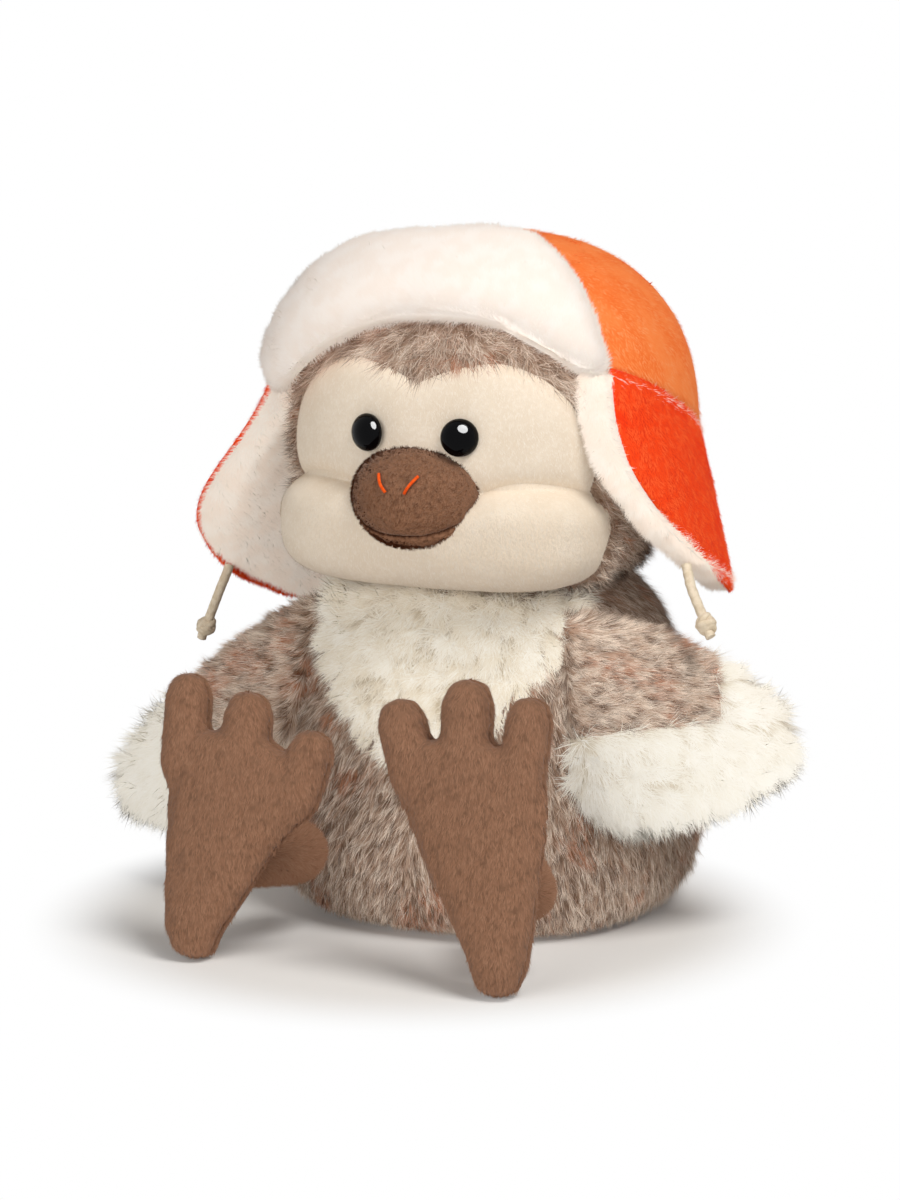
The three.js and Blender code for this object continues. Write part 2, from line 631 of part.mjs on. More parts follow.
function makeFlap(side) {
  const stretched = flapOutline(side);
  const belowHinge = (points) => points.map(([y, z]) => [y, Math.min(z, rimHeight(y) - 2 * gap)]);
  const place = flapPlace(side);
  const centre = [6, -18];
  const outer = [[1, -flapWall, -0.6], [0.9, -flapWall, 0], [0.5, -flapWall, 0], [0, -flapWall, 0]];
  const face = -flapWall - gap;
  const top = face + flapLiningWrap[side];
  const lining = [
    [1, face - flapLiningEdge, top], [0.9, face - 0.8 * flapLiningPuff, top],
    [0.5, face - flapLiningPuff, top], [0, face - flapLiningPuff, top],
  ];
  const bed = outer.map(([share]) => [share, face - gap / 2, 2 * flapWall]);
  const turn = flapTurn(side);
  const shaped = (outline, levels) => rolled(pad(outline, centre, levels, place).applyMatrix4(turn));
  // Room for the head and cheeks as the hat is pulled up and off along its own tilted axis.
  const liftShift = (z) => (muzzleForm.z - z) * Math.tan(hatRoll * degrees);
  const muzzleColumn = loft(
    [muzzleForm.z - rimDepth, muzzleForm.z].map((z) => levelRing(
      liftShift(z), muzzleY, z, muzzleHalfX + hatEase, muzzleHalfY + hatEase, muzzlePower, 24,
    )),
    new THREE.Vector3(liftShift(muzzleForm.z - rimDepth), muzzleY, muzzleForm.z - rimDepth),
    new THREE.Vector3(0, muzzleY, muzzleForm.z),
  );
  const room = rolled(headColumn(hatEase)).add(headBody(hatEase)).add(solid(muzzleColumn));
  piece(`ear_flap_${side}`, geometryOf(shaped(belowHinge(stretched), outer).subtract(room)), 'orange');
  const inside = shaped(belowHinge(inset(stretched, -flapLiningProud[side])), lining).subtract(room)
    .subtract(shaped(inset(stretched, -gap), bed));
  piece(`ear_flap_lining_${side}`, geometryOf(inside), 'white');
}

// The cord's round root rests on the lining's edge, half way through its thickness.
function cordExit(side) {
  const edge = inset(flapOutline(side), -flapLiningProud[side] - cordDiameter / 2 - gap);
  const y = cordSeat[side];
  const after = edge.findIndex(([along, height]) => along >= y && height < hingeBack[1]);
  const [before, next] = [edge[after - 1], edge[after]];
  const z = before[1] + ((next[1] - before[1]) * (y - before[0])) / (next[0] - before[0]);
  const middle = -flapWall - gap - (flapLiningEdge - flapLiningWrap[side]) / 2;
  return flapPlace(side)(y, z, middle).applyMatrix4(flapTurn(side)).applyMatrix4(hatTurn);
}

function makeCord(side) {
  const exit = cordExit(side);
  const route = cordSteps[side].map((step) => new THREE.Vector3(...step).add(exit));
  const path = new THREE.CatmullRomCurve3(route);
  const round = new THREE.Shape(Array.from({ length: 8 }, (_, i) => {
    const angle = (Math.PI * i) / 4;
    return new THREE.Vector2(Math.cos(angle), Math.sin(angle)).multiplyScalar(cordDiameter / 2);
  }));
  const tube = new THREE.ExtrudeGeometry(round, { steps: 3, bevelEnabled: false, extrudePath: path });
  const root = new THREE.IcosahedronGeometry(cordDiameter / 2, 1).translate(...exit.toArray());
  piece(`tie_cord_${side}`, geometryOf(solid(tube).add(solid(root))), 'cotton');
  const end = route.at(-1);
  const direction = end.clone().sub(route.at(-2)).normalize();
  const radius = knotDiameter / 2;
  const knot = piece(`cord_knot_${side}`, new THREE.IcosahedronGeometry(radius, 1), 'cotton');
  knot.position.copy(end).addScaledVector(direction, radius + gap);
}

function wingFrame(side) {
  const low = torsoPoint(wingRootLow, wingRootAngle);
  const high = torsoPoint(wingRootHigh, wingRootAngle);
  const up = high.clone().sub(low).normalize();
  const out = new THREE.Vector3(low.x, low.y - torsoCentreY, 0).normalize();
  const pivot = low.clone().addScaledVector(out, wingRootProud);
  const back = wingBack[side] * degrees;
  const level = new THREE.Vector3(Math.cos(back), Math.sin(back), 0);
  const along = level.clone().addScaledVector(up, -level.dot(up)).normalize();
  const face = along.clone().cross(up).normalize();
  const flip = (v) => new THREE.Vector3(signOf[side] * v.x, v.y, v.z);
  return { pivot: flip(pivot), up: flip(up), along: flip(along), face: flip(face) };
}

function makeWing(side) {
  const { pivot, up, along, face } = wingFrame(side);
  const outline = smooth([...wingPoints, wingPoints[0]], 26).slice(0, -1);
  const place = (s, t, h) => pivot.clone().addScaledVector(along, s)
    .addScaledVector(up, t - wingDroop[side] * Math.max(0, s)).addScaledVector(face, h);
  const levels = [
    [1, -wingEdge, wingEdge], [0.9, -0.72 * wingPuff, 0.72 * wingPuff],
    [0.6, -wingPuff, wingPuff], [0, -wingPuff, wingPuff],
  ];
  let whole = solid(pad(outline, wingCentre, levels, place));
  const body = torsoBody(1.5 * gap);
  const toPivot = new THREE.Matrix4().makeTranslation(...pivot.toArray());
  const fromPivot = new THREE.Matrix4().makeTranslation(...pivot.clone().negate().toArray());
  for (const angle of [wingBackLimit, wingBack[side], wingFrontLimit]) {
    const swing = signOf[side] * (wingBack[side] - angle) * degrees;
    const turned = toPivot.clone().multiply(new THREE.Matrix4().makeRotationAxis(up, swing)).multiply(fromPivot);
    whole = whole.subtract(body.transform(turned.elements));
  }
  const [length, height] = wingPatch;
  const block = (reach, foot) => {
    const corners = [[-40, foot], [reach, foot], [reach, 90], [-40, 90]];
    return solid(pad(corners, [0, 60], [[1, -40, 40], [0, -40, 40]], place));
  };
  piece(`wing_base_${side}`, geometryOf(whole.intersect(block(length - gap / 2, height + gap / 2))), 'fur');
  piece(`wing_tip_${side}`, geometryOf(whole.subtract(block(length + gap / 2, height - gap / 2))), 'cream');
}

const legRadius = legDiameter / 2;

function hipPoint(side) {
  const slope = (torsoFrontY(hipX + 1, hipHeight) - torsoFrontY(hipX - 1, hipHeight)) / 2;
  const away = (legRadius + 1.5 * gap) * Math.hypot(1, slope);
  return new THREE.Vector3(signOf[side] * hipX, torsoFrontY(hipX, hipHeight) - away, hipHeight);
}

function anklePoint(side) {
  const { lean, ankleX } = feet[side];
  const footBack = heelY + ankleHeight * Math.tan(lean * degrees) + footThick / 2 / Math.cos(lean * degrees);
  return new THREE.Vector3(signOf[side] * ankleX, footBack + legRadius - 1 + 2 * gap, ankleHeight);
}

function makeLeg(side) {
  piece(`leg_${side}`, spindle(hipPoint(side), anklePoint(side), legRadius, legRadius - 1, 14, 3), 'brown');
}

function makeFoot(side) {
  const { lean, palm, toes } = feet[side];
  const sign = signOf[side];
  const thickAt = (z) => (footThick / 2) * Math.min(1, 0.55 + z / 20);
  const rings = palm.slice(1).map(([z, x, half]) => levelRing(sign * x, 0, z, half, thickAt(z), 2.4, 16));
  const top = palm.at(-1)[0] + 4;
  const palmBody = loft(
    rings,
    new THREE.Vector3(sign * palm[0][1], 0, palm[0][0]),
    new THREE.Vector3(sign * palm.at(-1)[1], 0, top),
  );
  let whole = solid(palmBody);
  for (const [fromX, fromZ, toX, toZ, radius] of toes) {
    const toe = spindle(
      new THREE.Vector3(sign * fromX, 0, fromZ), new THREE.Vector3(sign * toX, 0, toZ), radius, radius, 10, 2,
    );
    whole = whole.add(solid(toe));
  }
  const half = (way) => solid(new THREE.BoxGeometry(200, 40, 240).translate(0, way * (20 + gap / 2), 0));
  const foot = new THREE.Group();
  foot.position.set(footShift, heelY, 0);
  foot.rotation.x = -lean * degrees;
  sparrow.add(foot);
  piece(`foot_sole_${side}`, geometryOf(whole.intersect(half(-1))), 'brown', 0.95, foot);
  piece(`foot_upper_${side}`, geometryOf(whole.intersect(half(1))), 'brown', 0.95, foot);
}

function makeTail() {
  const outline = smooth([...tailPoints, tailPoints[0]], 20).slice(0, -1);
  const rootY = torsoCentreY + torsoHalves(tailHeight)[1];
  const drop = tailDrop * degrees;
  const place = (s, t, h) => new THREE.Vector3(
    s,
    rootY + t * Math.cos(drop) + h * Math.sin(drop),
    tailHeight - t * Math.sin(drop) + h * Math.cos(drop),
  );
  const levels = [
    [1, -tailEdge, tailEdge], [0.86, -0.8 * tailPuff, 0.8 * tailPuff], [0.5, -tailPuff, tailPuff],
    [0, -tailPuff, tailPuff],
  ];
  let whole = solid(pad(outline, tailCentre, levels, place));
  for (const lift of [0, tailLift / 2, tailLift]) {
    const lowered = new THREE.Matrix4().makeTranslation(0, rootY, tailHeight)
      .multiply(new THREE.Matrix4().makeRotationX(-lift * degrees))
      .multiply(new THREE.Matrix4().makeTranslation(0, -rootY, -tailHeight));
    whole = whole.subtract(torsoBody(1.5 * gap).transform(lowered.elements));
  }
  piece('tail', geometryOf(whole), 'fur');
}

makeTorso();
makeHead();
makeBeak();
makeHat();
makeTail();
for (const side of sides) {
  makeFlap(side);
  makeCord(side);
  makeWing(side);
  makeLeg(side);
  makeFoot(side);
}

export default sparrow;
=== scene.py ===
# %% [markdown]
# # A plush sparrow in a trapper hat
# This lesson builds a stuffed toy bird: a body and a head of long speckled fur, a face of short cream
# plush, a brown beak and brown feet, white wings, and an orange hat with a white lining and two tie cords.
# A stuffed toy is fabric over fibre, so each piece is built in two layers. The first is the skin, a smooth
# surface with seams and dents. The second is the pile, the many small strands that stand on it.
# Blender works in metres. The sizes here are in millimetres and are scaled once, where a mesh is made.

# %% Start
import math

import bmesh
import bpy
import numpy as np

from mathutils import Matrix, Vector
from mathutils.kdtree import KDTree


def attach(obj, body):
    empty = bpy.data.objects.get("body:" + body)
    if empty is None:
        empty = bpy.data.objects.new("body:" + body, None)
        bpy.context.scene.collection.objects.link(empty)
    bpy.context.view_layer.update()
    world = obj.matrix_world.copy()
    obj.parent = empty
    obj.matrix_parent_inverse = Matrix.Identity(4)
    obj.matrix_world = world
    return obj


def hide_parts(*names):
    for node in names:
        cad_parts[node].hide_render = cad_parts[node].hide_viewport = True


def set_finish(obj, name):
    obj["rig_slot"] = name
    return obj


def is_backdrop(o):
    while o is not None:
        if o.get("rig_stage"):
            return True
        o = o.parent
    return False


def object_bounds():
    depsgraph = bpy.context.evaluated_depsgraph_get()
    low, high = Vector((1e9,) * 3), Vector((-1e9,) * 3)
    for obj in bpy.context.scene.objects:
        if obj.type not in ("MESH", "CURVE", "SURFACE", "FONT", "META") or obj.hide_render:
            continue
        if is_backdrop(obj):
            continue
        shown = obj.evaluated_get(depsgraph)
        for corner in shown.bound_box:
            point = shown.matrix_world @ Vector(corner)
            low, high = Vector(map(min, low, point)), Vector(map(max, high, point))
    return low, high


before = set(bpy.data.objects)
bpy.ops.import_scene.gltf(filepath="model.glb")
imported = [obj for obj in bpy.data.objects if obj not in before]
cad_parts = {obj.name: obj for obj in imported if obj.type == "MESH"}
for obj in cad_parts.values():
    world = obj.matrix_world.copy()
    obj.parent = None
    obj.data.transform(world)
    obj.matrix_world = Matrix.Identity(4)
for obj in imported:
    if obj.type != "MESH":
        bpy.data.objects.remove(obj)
MM = 0.001
SIGN = {"left": 1, "right": -1}


def in_scene(name, data):
    """A new object for a mesh, a lamp or the camera, linked into the scene."""
    obj = bpy.data.objects.new(name, data)
    bpy.context.scene.collection.objects.link(obj)
    return obj


def write_size():
    corners = [[float(v) for v in corner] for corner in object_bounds()]
    return corners


print("box of the object", write_size())

# %% [markdown]
# ## The camera
# The photo was taken from a little above the toy's eyes and from its left, with a long lens: near and far
# feet are almost the same size in it. A camera 1.2 m away with a 110 mm lens gives that flat perspective.
# The camera looks at a point near the middle of the toy. Three directions are named for the stage too: to the
# right in the picture, towards the viewer, and up.

# %% Camera
AZIMUTH = math.radians(24)
ELEVATION = math.radians(10.5)
DISTANCE = 1200
LENS, SENSOR = 109.8, 36
TARGET_RIGHT, TARGET_UP = -10.8, 101
RIGHT = np.array([math.cos(AZIMUTH), math.sin(AZIMUTH), 0])
NEAR = np.array([math.sin(AZIMUTH), -math.cos(AZIMUTH), 0])
UP = np.array([0, 0, 1.0])


def make_camera():
    data = bpy.data.cameras.new("camera")
    data.lens, data.sensor_width = LENS, SENSOR
    data.dof.use_dof = False
    camera = in_scene("camera", data)
    out = math.cos(ELEVATION) * NEAR + math.sin(ELEVATION) * UP
    camera.location = (TARGET_RIGHT * RIGHT + TARGET_UP * UP + DISTANCE * out) * MM
    camera.rotation_euler = (math.pi / 2 - ELEVATION, 0, AZIMUTH)
    bpy.context.scene.camera = camera
    return camera


print("camera at", tuple(round(v, 3) for v in make_camera().location))

# %% [markdown]
# ## Arithmetic on sockets
# A material is a small calculation for each point of a surface. Written out as nodes it is hard to read, so
# this class lets Python arithmetic make the nodes: `a * b + 0.5` adds a Multiply and an Add node. It works
# in a material's node tree and in a Geometry Nodes tree, because both have the Math nodes.

# %% Sockets
def put(tree, socket, value):
    """Links a wire to a socket, or sets the socket to a constant."""
    if isinstance(value, Wire):
        tree.links.new(value.socket, socket)
    elif socket.type == "VECTOR" and not hasattr(value, "__len__"):
        socket.default_value = (value, value, value)
    elif socket.type == "RGBA":
        socket.default_value = (*value, 1)
    else:
        socket.default_value = value


def arithmetic(operation, swapped=False):
    """A method that joins a wire and another value in one Math node."""
    def method(self, other):
        return self.join(operation, other, self) if swapped else self.join(operation, self, other)

    return method


class Wire:
    """An output socket that can be added, multiplied and so on."""

    __add__, __radd__ = arithmetic("ADD"), arithmetic("ADD", swapped=True)
    __sub__, __rsub__ = arithmetic("SUBTRACT"), arithmetic("SUBTRACT", swapped=True)
    __mul__, __rmul__ = arithmetic("MULTIPLY"), arithmetic("MULTIPLY", swapped=True)
    __truediv__, __rtruediv__ = arithmetic("DIVIDE"), arithmetic("DIVIDE", swapped=True)

    def __init__(self, tree, socket):
        self.tree = tree
        self.socket = socket

    def join(self, operation, first, second):
        """One Math node, or one Vector Math node where either value is a vector or a colour."""
        long = any(
            hasattr(v, "__len__") or isinstance(v, Wire) and v.socket.type in ("VECTOR", "RGBA")
            for v in (first, second))
        node = self.tree.nodes.new("ShaderNodeVectorMath" if long else "ShaderNodeMath")
        node.operation = operation
        put(self.tree, node.inputs[0], first)
        put(self.tree, node.inputs[1], second)
        return Wire(self.tree, node.outputs[0])

    def unit(self):
        return self.join("NORMALIZE", self, (0, 0, 0))

    def ramp(self, low, high):
        """0 below low, 1 above high, and a smooth rise between them."""
        node = self.tree.nodes.new("ShaderNodeMapRange")
        node.interpolation_type = "SMOOTHSTEP"
        put(self.tree, node.inputs["Value"], self)
        put(self.tree, node.inputs["From Min"], low)
        put(self.tree, node.inputs["From Max"], high)
        return Wire(self.tree, node.outputs["Result"])


def add(tree, kind, output, settings=None, **inputs):
    """A node with its inputs set by name, as a wire from one of its outputs."""
    node = tree.nodes.new(kind)
    for key, value in (settings or {}).items():
        setattr(node, key, value)
    for key, value in inputs.items():
        put(tree, node.inputs[key.replace("_", " ")], value)
    return Wire(tree, node.outputs[output])


def mix(tree, share, first, second):
    """A colour between two colours."""
    node = tree.nodes.new("ShaderNodeMix")
    node.data_type = "RGBA"
    put(tree, node.inputs[0], share)
    put(tree, node.inputs[6], first)
    put(tree, node.inputs[7], second)
    return Wire(tree, node.outputs[2])


def noise(tree, place, size, detail=2.0):
    """Smooth noise whose lumps are about one size, in metres, apart."""
    return add(tree, "ShaderNodeTexNoise", 0, Vector=place, Scale=1 / size, Detail=detail)


def paint(colour):
    """A colour as a screen shows it, from 0 to 255, turned into light."""
    share = np.array(colour) / 255
    light = np.where(share < 0.04045, share / 12.92, ((share + 0.055) / 1.055) ** 2.4)
    return tuple(float(v) for v in light)


# %% [markdown]
# ## Fabrics
# Real fur fabric is dark at the roots, where little light reaches, and pale at the tips. The strands here
# cast no shadow, so this shade at the roots is painted into their colour. The speckled fur of this toy is
# dyed: most strands are grey beige with whitish tips, some are dark brown, and there are warm patches. Each
# strand carries three values for this: how far along it a point is, a random number, and where its root
# stands. Strands that stand close together share a fleck of colour. In the white and cream pile these flecks
# are painted shade in the gaps between tufts, and in the brown nap the dark flecks are painted shade between
# its clumps. The flap linings are a warmer copy of the white plush, with painted light bounced from the
# orange, and the crown is a paler copy of the orange plush, with painted light from above. The skins under
# the pile are plain short plush: soft paler and darker patches, which are painted sheen where the nap lies
# another way, and a fine grain. The tables below hold the colours as a screen shows them.

# %% Materials
MATT = 0.9
WARM_PATCH = 0.016
GRAIN_DEPTH = 0.0006
ELSEWHERE = (0.3, 0.7, 0.1)  # moves a noise, so that the dark flecks don't fall on the pale ones


def new_material(name, roughness, sheen=0.0, shine=0.25):
    material = bpy.data.materials.new(name)
    material.use_nodes = True
    shader = material.node_tree.nodes["Principled BSDF"]
    for key, value in (("Roughness", roughness), ("Specular IOR Level", shine), ("Sheen Weight", sheen)):
        shader.inputs[key].default_value = value
    return material, material.node_tree, shader


def value_of(tree, name, vector=False):
    node = tree.nodes.new("ShaderNodeAttribute")
    node.attribute_name = name
    return Wire(tree, node.outputs["Vector" if vector else "Fac"])


def strand_material(name, root, body, tip, fleck, frost, root_painted_shade=0.3, dark=None, dark_share=0.0, warm=None):
    """Colour of one strand. fleck is the size of a fleck in millimetres, frost how far the tip turns pale, the
    root shade how far painted shade darkens the root, and dark_share says how many of the flecks are dark."""
    material, tree, shader = new_material(name, MATT, shine=0.1)
    root, body, tip = map(paint, (root, body, tip))
    along, chance, place = value_of(tree, "t"), value_of(tree, "shade"), value_of(tree, "root", vector=True)
    flecks = noise(tree, place, fleck * MM, 1.0)
    # In the white and cream pile these flecks are painted shade in the gaps between tufts; in the speckled fur they
    # are dye.
    colour = mix(tree, flecks.ramp(0.44, 0.6) * 0.65 + chance * 0.35, body, tip)
    if warm:
        patches = noise(tree, place, WARM_PATCH).ramp(0.5, 0.68)
        colour = mix(tree, patches * (1 - flecks.ramp(0.45, 0.65)) * 0.8, colour, paint(warm))
    # dark flecks: dye in the speckled fur, painted shade between clumps in the brown nap of legs and feet
    if dark:
        low = 1 - noise(tree, place + ELSEWHERE, fleck * 1.3 * MM, 1.0)
        picked = low.ramp(0.64 - dark_share * 0.4, 0.72 - dark_share * 0.4)
        colour = mix(tree, picked * (0.4 + 0.6 * chance), colour, paint(dark))
    colour = mix(tree, along.ramp(0.5, 1.0) * frost * 0.6, colour, tip)
    # painted shade: towards its root the strand takes the darker root colour, because the strands cast no shadow
    colour = mix(tree, (1 - along.ramp(0.0, 0.6)) * root_painted_shade, colour, root)
    put(tree, shader.inputs["Base Color"], colour)
    return material


def nap_material(name, low, high, size=0.012, grain=0.0012, relief=0.25, sheen=0.15):
    """Short plush: soft paler and darker patches, painted sheen where the nap lies another way, and a fine
    grain. Both sizes are in metres.
    """
    material, tree, shader = new_material(name, MATT, sheen)
    place = add(tree, "ShaderNodeTexCoord", "Object")
    # painted sheen: the paler and darker patches stand for nap that lies another way and catches the light
    patches = noise(tree, place, size, 3.0).ramp(0.35, 0.65)
    fine = noise(tree, place, grain, 2.0)
    put(tree, shader.inputs["Base Color"], mix(tree, patches * 0.6 + fine * 0.4, paint(low), paint(high)))
    bump = add(tree, "ShaderNodeBump", "Normal", Height=fine, Strength=relief, Distance=GRAIN_DEPTH)
    put(tree, shader.inputs["Normal"], bump)
    return material


def plain_material(name, colour, roughness, shine):
    material, tree, shader = new_material(name, roughness, shine=shine)
    put(tree, shader.inputs["Base Color"], paint(colour))
    return material


# the root colour and the last column, the root shade, are painted shade at the roots, where no strand casts a shadow
PILES = {  # root, body, tip, fleck, frost, shaded
    "speckled_pile": ((110, 82, 64), (168, 135, 112), (248, 233, 217), 1.7, 0.75, 0.6),
    "cream_pile": ((184, 166, 138), (232, 219, 195), (255, 252, 243), 3.0, 0.55, 0.85),
    "white_pile": ((210, 198, 176), (243, 238, 225), (252, 250, 243), 4, 0.6, 0.9),
    "plush_pile": ((243, 227, 214), (249, 237, 228), (252, 244, 238), 6, 0.5),
    # the flap linings: a warmer copy of plush_pile, whose warm tint is painted light bounced from the orange
    "lining_pile": ((245, 224, 206), (252, 236, 222), (254, 245, 235), 6, 0.5),
    "face_pile": ((220, 202, 180), (234, 219, 200), (247, 237, 224), 1.3, 0.4),
    "brown_pile": ((118, 84, 63), (144, 105, 82), (160, 121, 97), 0.9, 0.4, 0.5),
    "beak_pile": ((88, 58, 41), (130, 90, 66), (158, 116, 90), 1.0, 0.7, 0.7),
    "orange_pile": ((232, 50, 8), (252, 72, 22), (255, 102, 48), 3, 0.4),
    # the crown: a paler copy of orange_pile, painted light from above
    "crown_pile": ((246, 112, 42), (254, 142, 74), (255, 170, 110), 4, 0.4),
}
# speckled fur: dyed dark flecks and warm patches; brown nap: dark flecks that are painted shade between its clumps;
# beak: dark flecks; orange: patches of deeper orange
FLECKS_AND_PATCHES = {
    "speckled_pile": {"dark": (66, 44, 33), "dark_share": 0.38, "warm": (178, 106, 70)},
    "brown_pile": {"dark": (124, 88, 67), "dark_share": 0.1},
    "beak_pile": {"dark": (80, 52, 38), "dark_share": 0.25},
    "orange_pile": {"warm": (246, 50, 10)},
}
NAPS = {  # low, high, size of the patches, size of the grain, relief, sheen
    "speckled_skin": ((112, 88, 72), (166, 138, 118), 0.004),
    "cream_skin": ((214, 202, 180), (236, 226, 208)),
    "white_skin": ((244, 234, 222), (251, 244, 235)),
    "face_skin": ((230, 213, 191), (241, 227, 208)),
    "brown_skin": ((112, 80, 60), (138, 101, 78), 0.0024),
    "orange_skin": ((230, 50, 8), (244, 66, 18), 0.012, 0.0012, 0.25, 0.0),
    # the crown's skin: a paler copy of orange_skin, painted light from above
    "crown_skin": ((246, 112, 42), (254, 140, 72), 0.012, 0.0012, 0.25, 0.0),
    "cotton": ((218, 200, 172), (240, 226, 204), 0.002, 0.0004, 0.4, 0.0),
    "thread": ((232, 74, 10), (255, 104, 30), 0.0008, 0.0003, 0.4, 0.0),
    "fibre": ((226, 226, 222), (246, 246, 243), 0.006, 0.001, 0.6),
    "pouch": ((196, 186, 168), (214, 205, 188), 0.01, 0.0006),
}
PLASTICS = {"black_gloss": ((3, 3, 5), 0.06, 0.08), "nylon": ((216, 216, 210), 0.35, 0.5)}
FABRIC = {name: strand_material(name, *look, **FLECKS_AND_PATCHES.get(name, {})) for name, look in PILES.items()}
FABRIC |= {name: nap_material(name, *look) for name, look in NAPS.items()}
FABRIC |= {name: plain_material(name, *look) for name, look in PLASTICS.items()}
print(len(FABRIC), "materials")

# %% [markdown]
# ## Curves, rings and pads
# Nearly every piece of this toy is cut from flat cloth along an outline, so its shape is a closed line in a
# plane and a rule that says how far each point inside it rises. `pad` builds that: rings of points, each the
# outline drawn smaller, joined by quads. A Catmull-Rom spline turns a few measured points into a smooth
# outline, because it passes through all of them.

# %% Shapes
def spline(points, steps, closed=False):
    """A smooth line through points, with some steps between each two of them."""
    points = np.asarray(points, float)
    if closed:
        ring = np.vstack([points[-1:], points, points[:2]])
    else:
        ring = np.vstack([2 * points[:1] - points[1:2], points, 2 * points[-1:] - points[-2:-1]])
    parts = []
    for a, b, c, d in zip(ring, ring[1:], ring[2:], ring[3:]):
        t = np.linspace(0, 1, steps, endpoint=False)[:, None]
        parts.append(0.5 * (2 * b + (c - a) * t + (2 * a - 5 * b + 4 * c - d) * t**2
                            + (3 * b - a - 3 * c + d) * t**3))
    line = np.vstack(parts)
    return line if closed else np.vstack([line, points[-1:]])


def distance_along(line):
    return np.concatenate([[0], np.cumsum(np.linalg.norm(np.diff(line, axis=0), axis=1))])


def even(line, count, closed=True):
    """The same line with points an equal distance apart."""
    line = np.vstack([line, line[:1]]) if closed else line
    length = distance_along(line)
    at = np.linspace(0, length[-1], count, endpoint=not closed)
    return np.stack([np.interp(at, length, line[:, k]) for k in range(line.shape[1])], axis=1)


def within(outline, x, y):
    """True for each point that lies inside a closed outline."""
    inside = np.zeros(np.shape(x), bool)
    for (ax, ay), (bx, by) in zip(outline, np.roll(outline, -1, axis=0)):
        if ay != by:
            crosses = (ay > y) != (by > y)
            inside ^= crosses & (x < ax + (bx - ax) * (y - ay) / (by - ay))
    return inside


def gap_to(line, places):
    """How far each place of a plane is from the nearest point of a line."""
    near = KDTree(len(line))
    for i, (x, y) in enumerate(line):
        near.insert((x, y, 0), i)
    near.balance()
    return np.array([near.find((x, y, 0))[2] for x, y in places])


def unit(vectors):
    """One vector, or each row of many, made one long."""
    length = np.linalg.norm(vectors) if vectors.ndim == 1 else np.linalg.norm(vectors, axis=1)[:, None]
    return vectors / np.maximum(length, 1e-6)


def grid_faces(rings, count):
    """Quads between rings of points."""
    i, j = np.meshgrid(np.arange(rings - 1), np.arange(count), indexing="ij")
    k = (j + 1) % count
    quads = np.stack([i * count + j, i * count + k, (i + 1) * count + k, (i + 1) * count + j], axis=-1)
    return quads.reshape(-1, 4).tolist()


def fan(centre, ring):
    """Triangles from a point to a ring of points."""
    return [[centre, int(a), int(b)] for a, b in zip(ring, np.roll(ring, -1))]


def closed_form(rings, ends):
    """Points and faces of rings joined by quads, and closed by a fan to a point at each end."""
    count = len(rings[0])
    points = np.vstack([*rings, *ends])
    faces = grid_faces(len(rings), count) + fan(len(points) - 2, np.arange(count)[::-1])
    return points, faces + fan(len(points) - 1, np.arange(count) + (len(rings) - 1) * count)


def make_object(name, points, faces, material, body, slot):
    """A smooth mesh object from points in millimetres, carried by one body of the frame."""
    mesh = bpy.data.meshes.new(name)
    mesh.from_pydata((np.asarray(points) * MM).tolist(), [], faces)
    return finish_object(name, mesh, material, body, slot)


def finish_object(name, mesh, material, body, slot):
    work = bmesh.new()
    work.from_mesh(mesh)
    bmesh.ops.recalc_face_normals(work, faces=work.faces)
    work.to_mesh(mesh)
    work.free()
    mesh.shade_smooth()
    mesh.materials.clear()
    mesh.materials.append(FABRIC[material])
    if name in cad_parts:
        name += "_cloth"
    mesh.name = name
    obj = in_scene(name, mesh)
    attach(obj, body)
    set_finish(obj, slot)
    return obj


def read_all(items, name, width=1, kind=float):
    """One value of every item of a mesh, such as its vertices, as an array."""
    values = np.empty(len(items) * width, kind)
    items.foreach_get(name, values)
    return values.reshape(-1, width) if width > 1 else values


def points_of(obj):
    """The vertices of an object in millimetres, and their normals."""
    return read_all(obj.data.vertices, "co", 3) / MM, read_all(obj.data.vertex_normals, "vector", 3)


def move_points(obj, points):
    obj.data.vertices.foreach_set("co", (np.asarray(points) * MM).ravel())
    obj.data.update()


def pad(name, outline, centre, section, place, material, body, slot, swell=0.0):
    """A closed pad. section runs from the middle of one face round the edge to the middle of the other,
    as rows of [share of the outline, height]. With swell, the first face rises with the distance from the edge
    instead, and is full at that distance."""
    rim_rows, least_gap = 5, 0.02
    low, high = section[len(section) // 2, 1], section[0, 1]
    rings = []
    for i, (share, h) in enumerate(section[1:-1]):
        flat = centre + (outline - centre) * share
        tall = np.full(len(outline), h)
        if swell and i < len(section) // 2 - rim_rows:
            gap = np.clip(gap_to(outline, flat) / swell, least_gap, 1)
            tall = low + (high - low) * np.sqrt(1 - (1 - gap)**2)
        rings.append(place(*flat.T, tall))
    ends = [place(centre[:1], centre[1:], np.array([h])) for h in (section[0, 1], section[-1, 1])]
    return make_object(name, *closed_form(rings, ends), material, body, slot)


def pillow_section(low_edge, high_edge, low, high, steps, fullness, lip):
    """Section of a stuffed pad: flat in the middle, rounded down to its edge, with a rolled rim."""
    share = np.sin(np.linspace(0, np.pi / 2, steps))
    rise = (1 - share**fullness) ** (1 / 2)
    top = np.stack([share, high_edge + (high - high_edge) * rise], axis=1)
    bottom = np.stack([share, low_edge + (low - low_edge) * rise], axis=1)
    turn = np.linspace(np.pi / 2, -np.pi / 2, 9)[1:-1]
    middle, half = (high_edge + low_edge) / 2, (high_edge - low_edge) / 2
    rim = np.stack([1 + lip * np.cos(turn), middle + half * np.sin(turn)], axis=1)
    return np.vstack([top, rim, bottom[::-1]])


